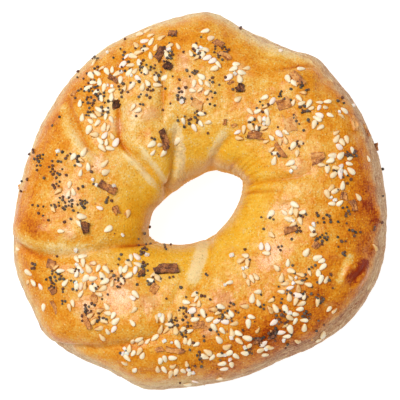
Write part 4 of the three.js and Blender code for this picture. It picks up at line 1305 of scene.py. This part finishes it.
class BAGEL_OT_sesame(bpy.types.Operator):
    """Lays the sesame in its patches"""
    bl_idname = "bagel.sesame"
    bl_label = "Sesame"

    def execute(self, context):
        look = context.scene.bagel_toppings
        places = sesame_places()
        count = len(places)
        lifts = look.seed_height / MM * varied(SEED_LIFTS, draws_for(count, 11))
        sizes = varied(SEED_SIZES, np.array(places)[:, 3])
        slim = varied(SEED_SLIMNESS, draws_for(count, 13))
        kept = {
            "size": np.stack((sizes, sizes * slim, sizes), -1),
            "tint": draws_for(count, 14) ** 2 * 0.95, "rosy": draws_for(count, 15)}
        inputs = (("Length", 2.8 * MM), ("Width", 1.8 * MM), ("Height", 0.9 * MM), ("Taper", 0.24))
        values = {
            "Material": sesame_material(look), "Length": look.seed_length,
            "Width": look.seed_width, "Height": look.seed_height}
        tree = scatter_tree("sesame", inputs, sesame_form)
        lay("sesame", places, lifts, tips_for(count, 12, SEED_TIP), kept, tree, values)
        return {"FINISHED"}


class BAGEL_OT_poppy(bpy.types.Operator):
    """Lays the poppy seeds in their patches"""
    bl_idname = "bagel.poppy"
    bl_label = "Poppy"

    def execute(self, context):
        look = context.scene.bagel_toppings
        patches = [(x, y, reach * POPPY_SPREAD, count) for x, y, reach, count in POPPY_PATCHES]
        places = scatter(patches, POPPY_SPACING, POPPY_DRAW, covered_ground())
        count = len(places)
        lifts = look.poppy_size / MM * varied(SEED_LIFTS, draws_for(count, 21))
        sizes = varied(POPPY_SIZES, np.array(places)[:, 3])
        kept = {"size": np.repeat(sizes[:, None], 3, 1), "tint": draws_for(count, 23)}
        values = {"Material": poppy_material(look), "Size": look.poppy_size}
        tree = scatter_tree("poppy", [("Size", 1.1 * MM)], poppy_form)
        lay("poppy", places, lifts, tips_for(count, 22, POPPY_TIP), kept, tree, values)
        return {"FINISHED"}


class BAGEL_OT_salt(bpy.types.Operator):
    """Lays the salt crystals and the crumbs of the toppings"""
    bl_idname = "bagel.salt"
    bl_label = "Salt and crumbs"

    def execute(self, context):
        look = context.scene.bagel_toppings
        tree = scatter_tree("crystal", (("Size", 1.0), ("Wear", 0.72)), grain_form, smooth=False)
        places = scatter(SALT_PATCHES, SALT_SPACING, SALT_DRAW, covered_ground())
        count = len(places)
        stretch = np.stack([varied(SALT_STRETCH, draws_for(count, 31 + k)) for k in range(3)], -1)
        sizes = varied(SALT_SIZES, draws_for(count, 34))
        kept = {"size": stretch * sizes[:, None], "tint": np.zeros(count)}
        values = {"Material": salt_material(look), "Size": MM}
        tips = tips_for(count, 35, SALT_TIP)
        lay("salt", places, SALT_LIFT * sizes, tips, kept, tree, values)

        patches = [(x, y, reach + CRUMB_SPREAD, 1) for x, y, reach, _ in SESAME_PATCHES]
        places = scatter(patches, CRUMB_SPACING, CRUMB_DRAW, flake_ground())
        count = len(places)
        sizes = varied(CRUMB_SIZES, draws_for(count, 41) ** 2)
        kept = {"size": np.outer(sizes, CRUMB_SHAPE), "tint": 0.9 * draws_for(count, 43)}
        values = {"Material": bpy.data.materials["toasted_flake"], "Size": MM}
        tips = tips_for(count, 42, CRUMB_TIP)
        lay("crumbs", places, CRUMB_LIFT * sizes, tips, kept, tree, values)
        return {"FINISHED"}


# ---- flakes --------------------------------------------------------------------------

FLAKE_SIDE_STEPS = 4          # points along each side of a flake's outline
FLAKE_RINGS = (1.0, 0.94, 0.78, 0.52, 0.24)
# Numbers in pairs here: where something stands, of the half length or half width, and how
# far it strays.
FLAKE_CORNERS = ((0.84, 0.26), (0.78, 0.34))  # a corner, along and across
FLAKE_MIDDLES = ((0.86, 0.34), (0.0, 0.36))   # a side's own corner, outwards and sideways
FLAKE_CORNER = 0.7            # how often a side has a corner of its own
FLAKE_CURL, FLAKE_CURL_DOWN = 0.6, 0.35       # of its height; and how many curl downwards
FLAKE_TWIST = 0.5             # of its height
FLAKE_THICK, FLAKE_LUMP = 0.72, 0.5           # of its height
FLAKE_FRAY = 0.3
FLAKE_FIBRE, FLAKE_FIBRES = 0.16, 7           # how high the fibres stand, and how close
FLAKE_SHARP = 38              # degrees between two faces that don't shade into each other
FLAKE_UNDERCUT = (0.93, 0.35)  # how much narrower its foot is, and the least thickness


def flake_outline(random):
    """The uneven corners and sides of a broken chip, within -1 to 1."""
    def stray(middle, amount):
        return middle + amount * (2 * next(random) - 1)

    corners = []
    along, across = FLAKE_CORNERS
    outwards, sideways = FLAKE_MIDDLES
    for u, v in ((-1, -1), (1, -1), (1, 1), (-1, 1)):
        corners.append(Vector((u * stray(*along), v * stray(*across))))
        if next(random) < FLAKE_CORNER:
            out = Vector(((u - v) / 2, (u + v) / 2))
            corners.append(out * stray(*outwards) + out.yx * stray(*sideways))
    outline = []
    for here, onward in zip(corners, corners[1:] + corners[:1]):
        outline += [here.lerp(onward, k / FLAKE_SIDE_STEPS) for k in range(FLAKE_SIDE_STEPS)]
    return outline


def flake_shell(length, width, height, random):
    """One broken chip: its points, how near the edge they are, and its faces."""
    outline = flake_outline(random)
    count = len(outline)
    curl = (next(random) - FLAKE_CURL_DOWN) * FLAKE_CURL * height
    twist = (next(random) - 0.5) * FLAKE_TWIST * height
    shift = 40 * next(random)

    def place(u, v, share):
        x, y = u * length / 2, v * width / 2
        x += FLAKE_FRAY * noise.noise(Vector((x * 2, y * 2, shift + 5)))
        y += FLAKE_FRAY * noise.noise(Vector((x * 2, y * 2, shift + 15)))
        sway = 3 * noise.noise(Vector((x * 0.5, y * 0.5, shift)))
        fibre = FLAKE_FIBRE * math.sin(y * FLAKE_FIBRES + sway + shift)
        lump = FLAKE_LUMP * noise.noise(Vector((x * 0.9, y * 1.4, shift + 20)))
        bend = curl * u * u + twist * u * v
        return x, y, bend + height * (FLAKE_THICK + lump + 0.1 * share) + fibre

    points, rims, faces = [], [], []
    for share in FLAKE_RINGS:
        points += [place(p.x * share, p.y * share, share) for p in outline]
        rims += [share ** 6] * count
    points.append(place(0, 0, 0))
    rims.append(0.0)
    narrower, thin = FLAKE_UNDERCUT
    for k, p in enumerate(outline):
        x, y, z = points[k]
        points.append((x * narrower, y * narrower, min(curl * p.x * p.x * 0.6, z - thin)))
        rims.append(1.0)
    middle, below = len(FLAKE_RINGS) * count, len(FLAKE_RINGS) * count + 1
    for k in range(count):
        onward = (k + 1) % count
        for ring in range(len(FLAKE_RINGS) - 1):
            a, b = ring * count, (ring + 1) * count
            faces.append((a + k, a + onward, b + onward, b + k))
        last = middle - count
        faces.append((last + k, last + onward, middle))
        faces.append((below + k, below + onward, onward, k))
    faces.append(tuple(below + k for k in reversed(range(count))))
    return points, rims, faces


class BAGEL_OT_flakes(bpy.types.Operator):
    """Shapes the flakes of dried onion and garlic, and lays them down"""
    bl_idname = "bagel.flakes"
    bl_label = "Flakes"

    def execute(self, context):
        look = context.scene.bagel_toppings
        random = random_from(FLAKE_DRAW)
        count = len(FLAKES)
        lifts, tips = np.full(count, FLAKE_LIFT), tips_for(count, 51, FLAKE_TIP)
        middles, turns = lie_on_crust([flake[:3] for flake in FLAKES], lifts, tips)
        points, faces, tints, rims = [], [], [], []
        for (_, _, _, length, width, height, tint), middle, turn in zip(FLAKES, middles, turns):
            shell, shell_rims, shell_faces = flake_shell(length, width, height, random)
            basis = Euler(turn).to_matrix()
            first = len(points)
            points += [tuple(Vector(middle) + basis @ Vector(p)) for p in shell]
            faces += [tuple(first + i for i in face) for face in shell_faces]
            tints += [tint] * len(shell)
            rims += shell_rims
        flakes = new_piece("flakes", points, faces, flake_material(look))
        flakes.data.set_sharp_from_angle(angle=math.radians(FLAKE_SHARP))
        keep_on_points(flakes, "tint", tints)
        keep_on_points(flakes, "rim", rims)
        settle(flakes)
        return {"FINISHED"}


# ---- the stage -----------------------------------------------------------------------

LOOK_AT = (0.495, 0.33, 16.0)
LEAN_TOWARDS = math.radians(-45)
TABLE_HALF = 1500.0
TABLE_BELOW = 0.1             # so that the table and the base of the crust don't flicker
SOFTBOX_AT, SOFTBOX_SIDE = (-280, 180, 1000), 560
SENSOR = 36.0


def table_material(glow):
    material, w, surface, place = new_material("white_table", Roughness=0.8)
    shade = w.between(w.noise(place, 60.0, 2.0), 0.3, 0.7, 0.28, 0.3)
    w.feed(surface["Base Color"], w.grey(shade))
    surface["Emission Color"].default_value = (1, 1, 1, 1)
    surface["Emission Strength"].default_value = glow
    return material


def add_softbox(name, at, side, power):
    light = bpy.data.lights.new(name, "AREA")
    light.shape, light.size, light.energy = "SQUARE", side * MM, power
    lamp = bpy.data.objects.new(name, light)
    lamp.location = Vector(at) * MM
    lamp.rotation_euler = (-Vector(at)).to_track_quat("-Z", "Y").to_euler()
    bpy.context.scene.collection.objects.link(lamp)


class BAGEL_OT_stage(bpy.types.Operator):
    """Sets the white table, the soft light and the camera"""
    bl_idname = "bagel.stage"
    bl_label = "Stage"

    def execute(self, context):
        stage = context.scene.bagel_stage
        corners = [
            (u * TABLE_HALF, v * TABLE_HALF, -TABLE_BELOW)
            for u, v in ((-1, -1), (1, -1), (1, 1), (-1, 1))]
        table = new_piece("table", corners, [(0, 1, 2, 3)], table_material(stage.floor_glow))

        world = bpy.data.worlds.new("studio")
        world.use_nodes = True
        backdrop = world.node_tree.nodes["Background"].inputs
        backdrop["Color"].default_value = (1, 1, 1, 1)
        backdrop["Strength"].default_value = stage.room_light
        context.scene.world = world
        context.scene.view_settings.view_transform = "Standard"
        add_softbox("softbox", SOFTBOX_AT, SOFTBOX_SIDE, stage.lamp_power)

        back = Vector((
            math.sin(stage.tilt) * math.cos(LEAN_TOWARDS),
            math.sin(stage.tilt) * math.sin(LEAN_TOWARDS), math.cos(stage.tilt)))
        camera = bpy.data.cameras.new("camera")
        camera.sensor_width = SENSOR
        camera.lens = SENSOR * stage.distance / stage.view_width
        holder = bpy.data.objects.new("camera", camera)
        holder.location = Vector(LOOK_AT) * MM + back * stage.distance
        holder.rotation_mode = "QUATERNION"
        right = Vector((0, 1, 0)).cross(back).normalized()
        basis = Matrix((right, back.cross(right), back)).transposed()
        holder.rotation_quaternion = basis.to_quaternion()
        context.scene.collection.objects.link(holder)
        context.scene.camera = holder
        return {"FINISHED"}


# ---- the add-on ----------------------------------------------------------------------

STEPS = (
    BAGEL_OT_crust, BAGEL_OT_sesame, BAGEL_OT_poppy, BAGEL_OT_flakes, BAGEL_OT_salt,
    BAGEL_OT_stage,
)
SETTINGS = {
    "bagel_crust": BagelCrust, "bagel_toppings": BagelToppings, "bagel_stage": BagelStage}


class BAGEL_PT_panel(bpy.types.Panel):
    """The bagel's steps and settings"""
    bl_idname = "BAGEL_PT_panel"
    bl_label = "Bagel"
    bl_space_type = "VIEW_3D"
    bl_region_type = "UI"
    bl_category = "Bagel"

    def draw(self, context):
        for step in STEPS:
            self.layout.operator(step.bl_idname)
        for group in SETTINGS:
            settings, box = getattr(context.scene, group), self.layout.box()
            for name in settings.__annotations__:
                box.prop(settings, name)


CLASSES = (*SETTINGS.values(), *STEPS, BAGEL_PT_panel)


def register():
    for kind in CLASSES:
        bpy.utils.register_class(kind)
    for group, kind in SETTINGS.items():
        setattr(bpy.types.Scene, group, bpy.props.PointerProperty(type=kind))


def unregister():
    for group in SETTINGS:
        delattr(bpy.types.Scene, group)
    for kind in reversed(CLASSES):
        bpy.utils.unregister_class(kind)


def main():
    register()
    bpy.ops.bagel.crust()
    bpy.ops.bagel.sesame()
    bpy.ops.bagel.poppy()
    bpy.ops.bagel.flakes()
    bpy.ops.bagel.salt()
    bpy.ops.bagel.stage()


if __name__ == "__main__":
    main()
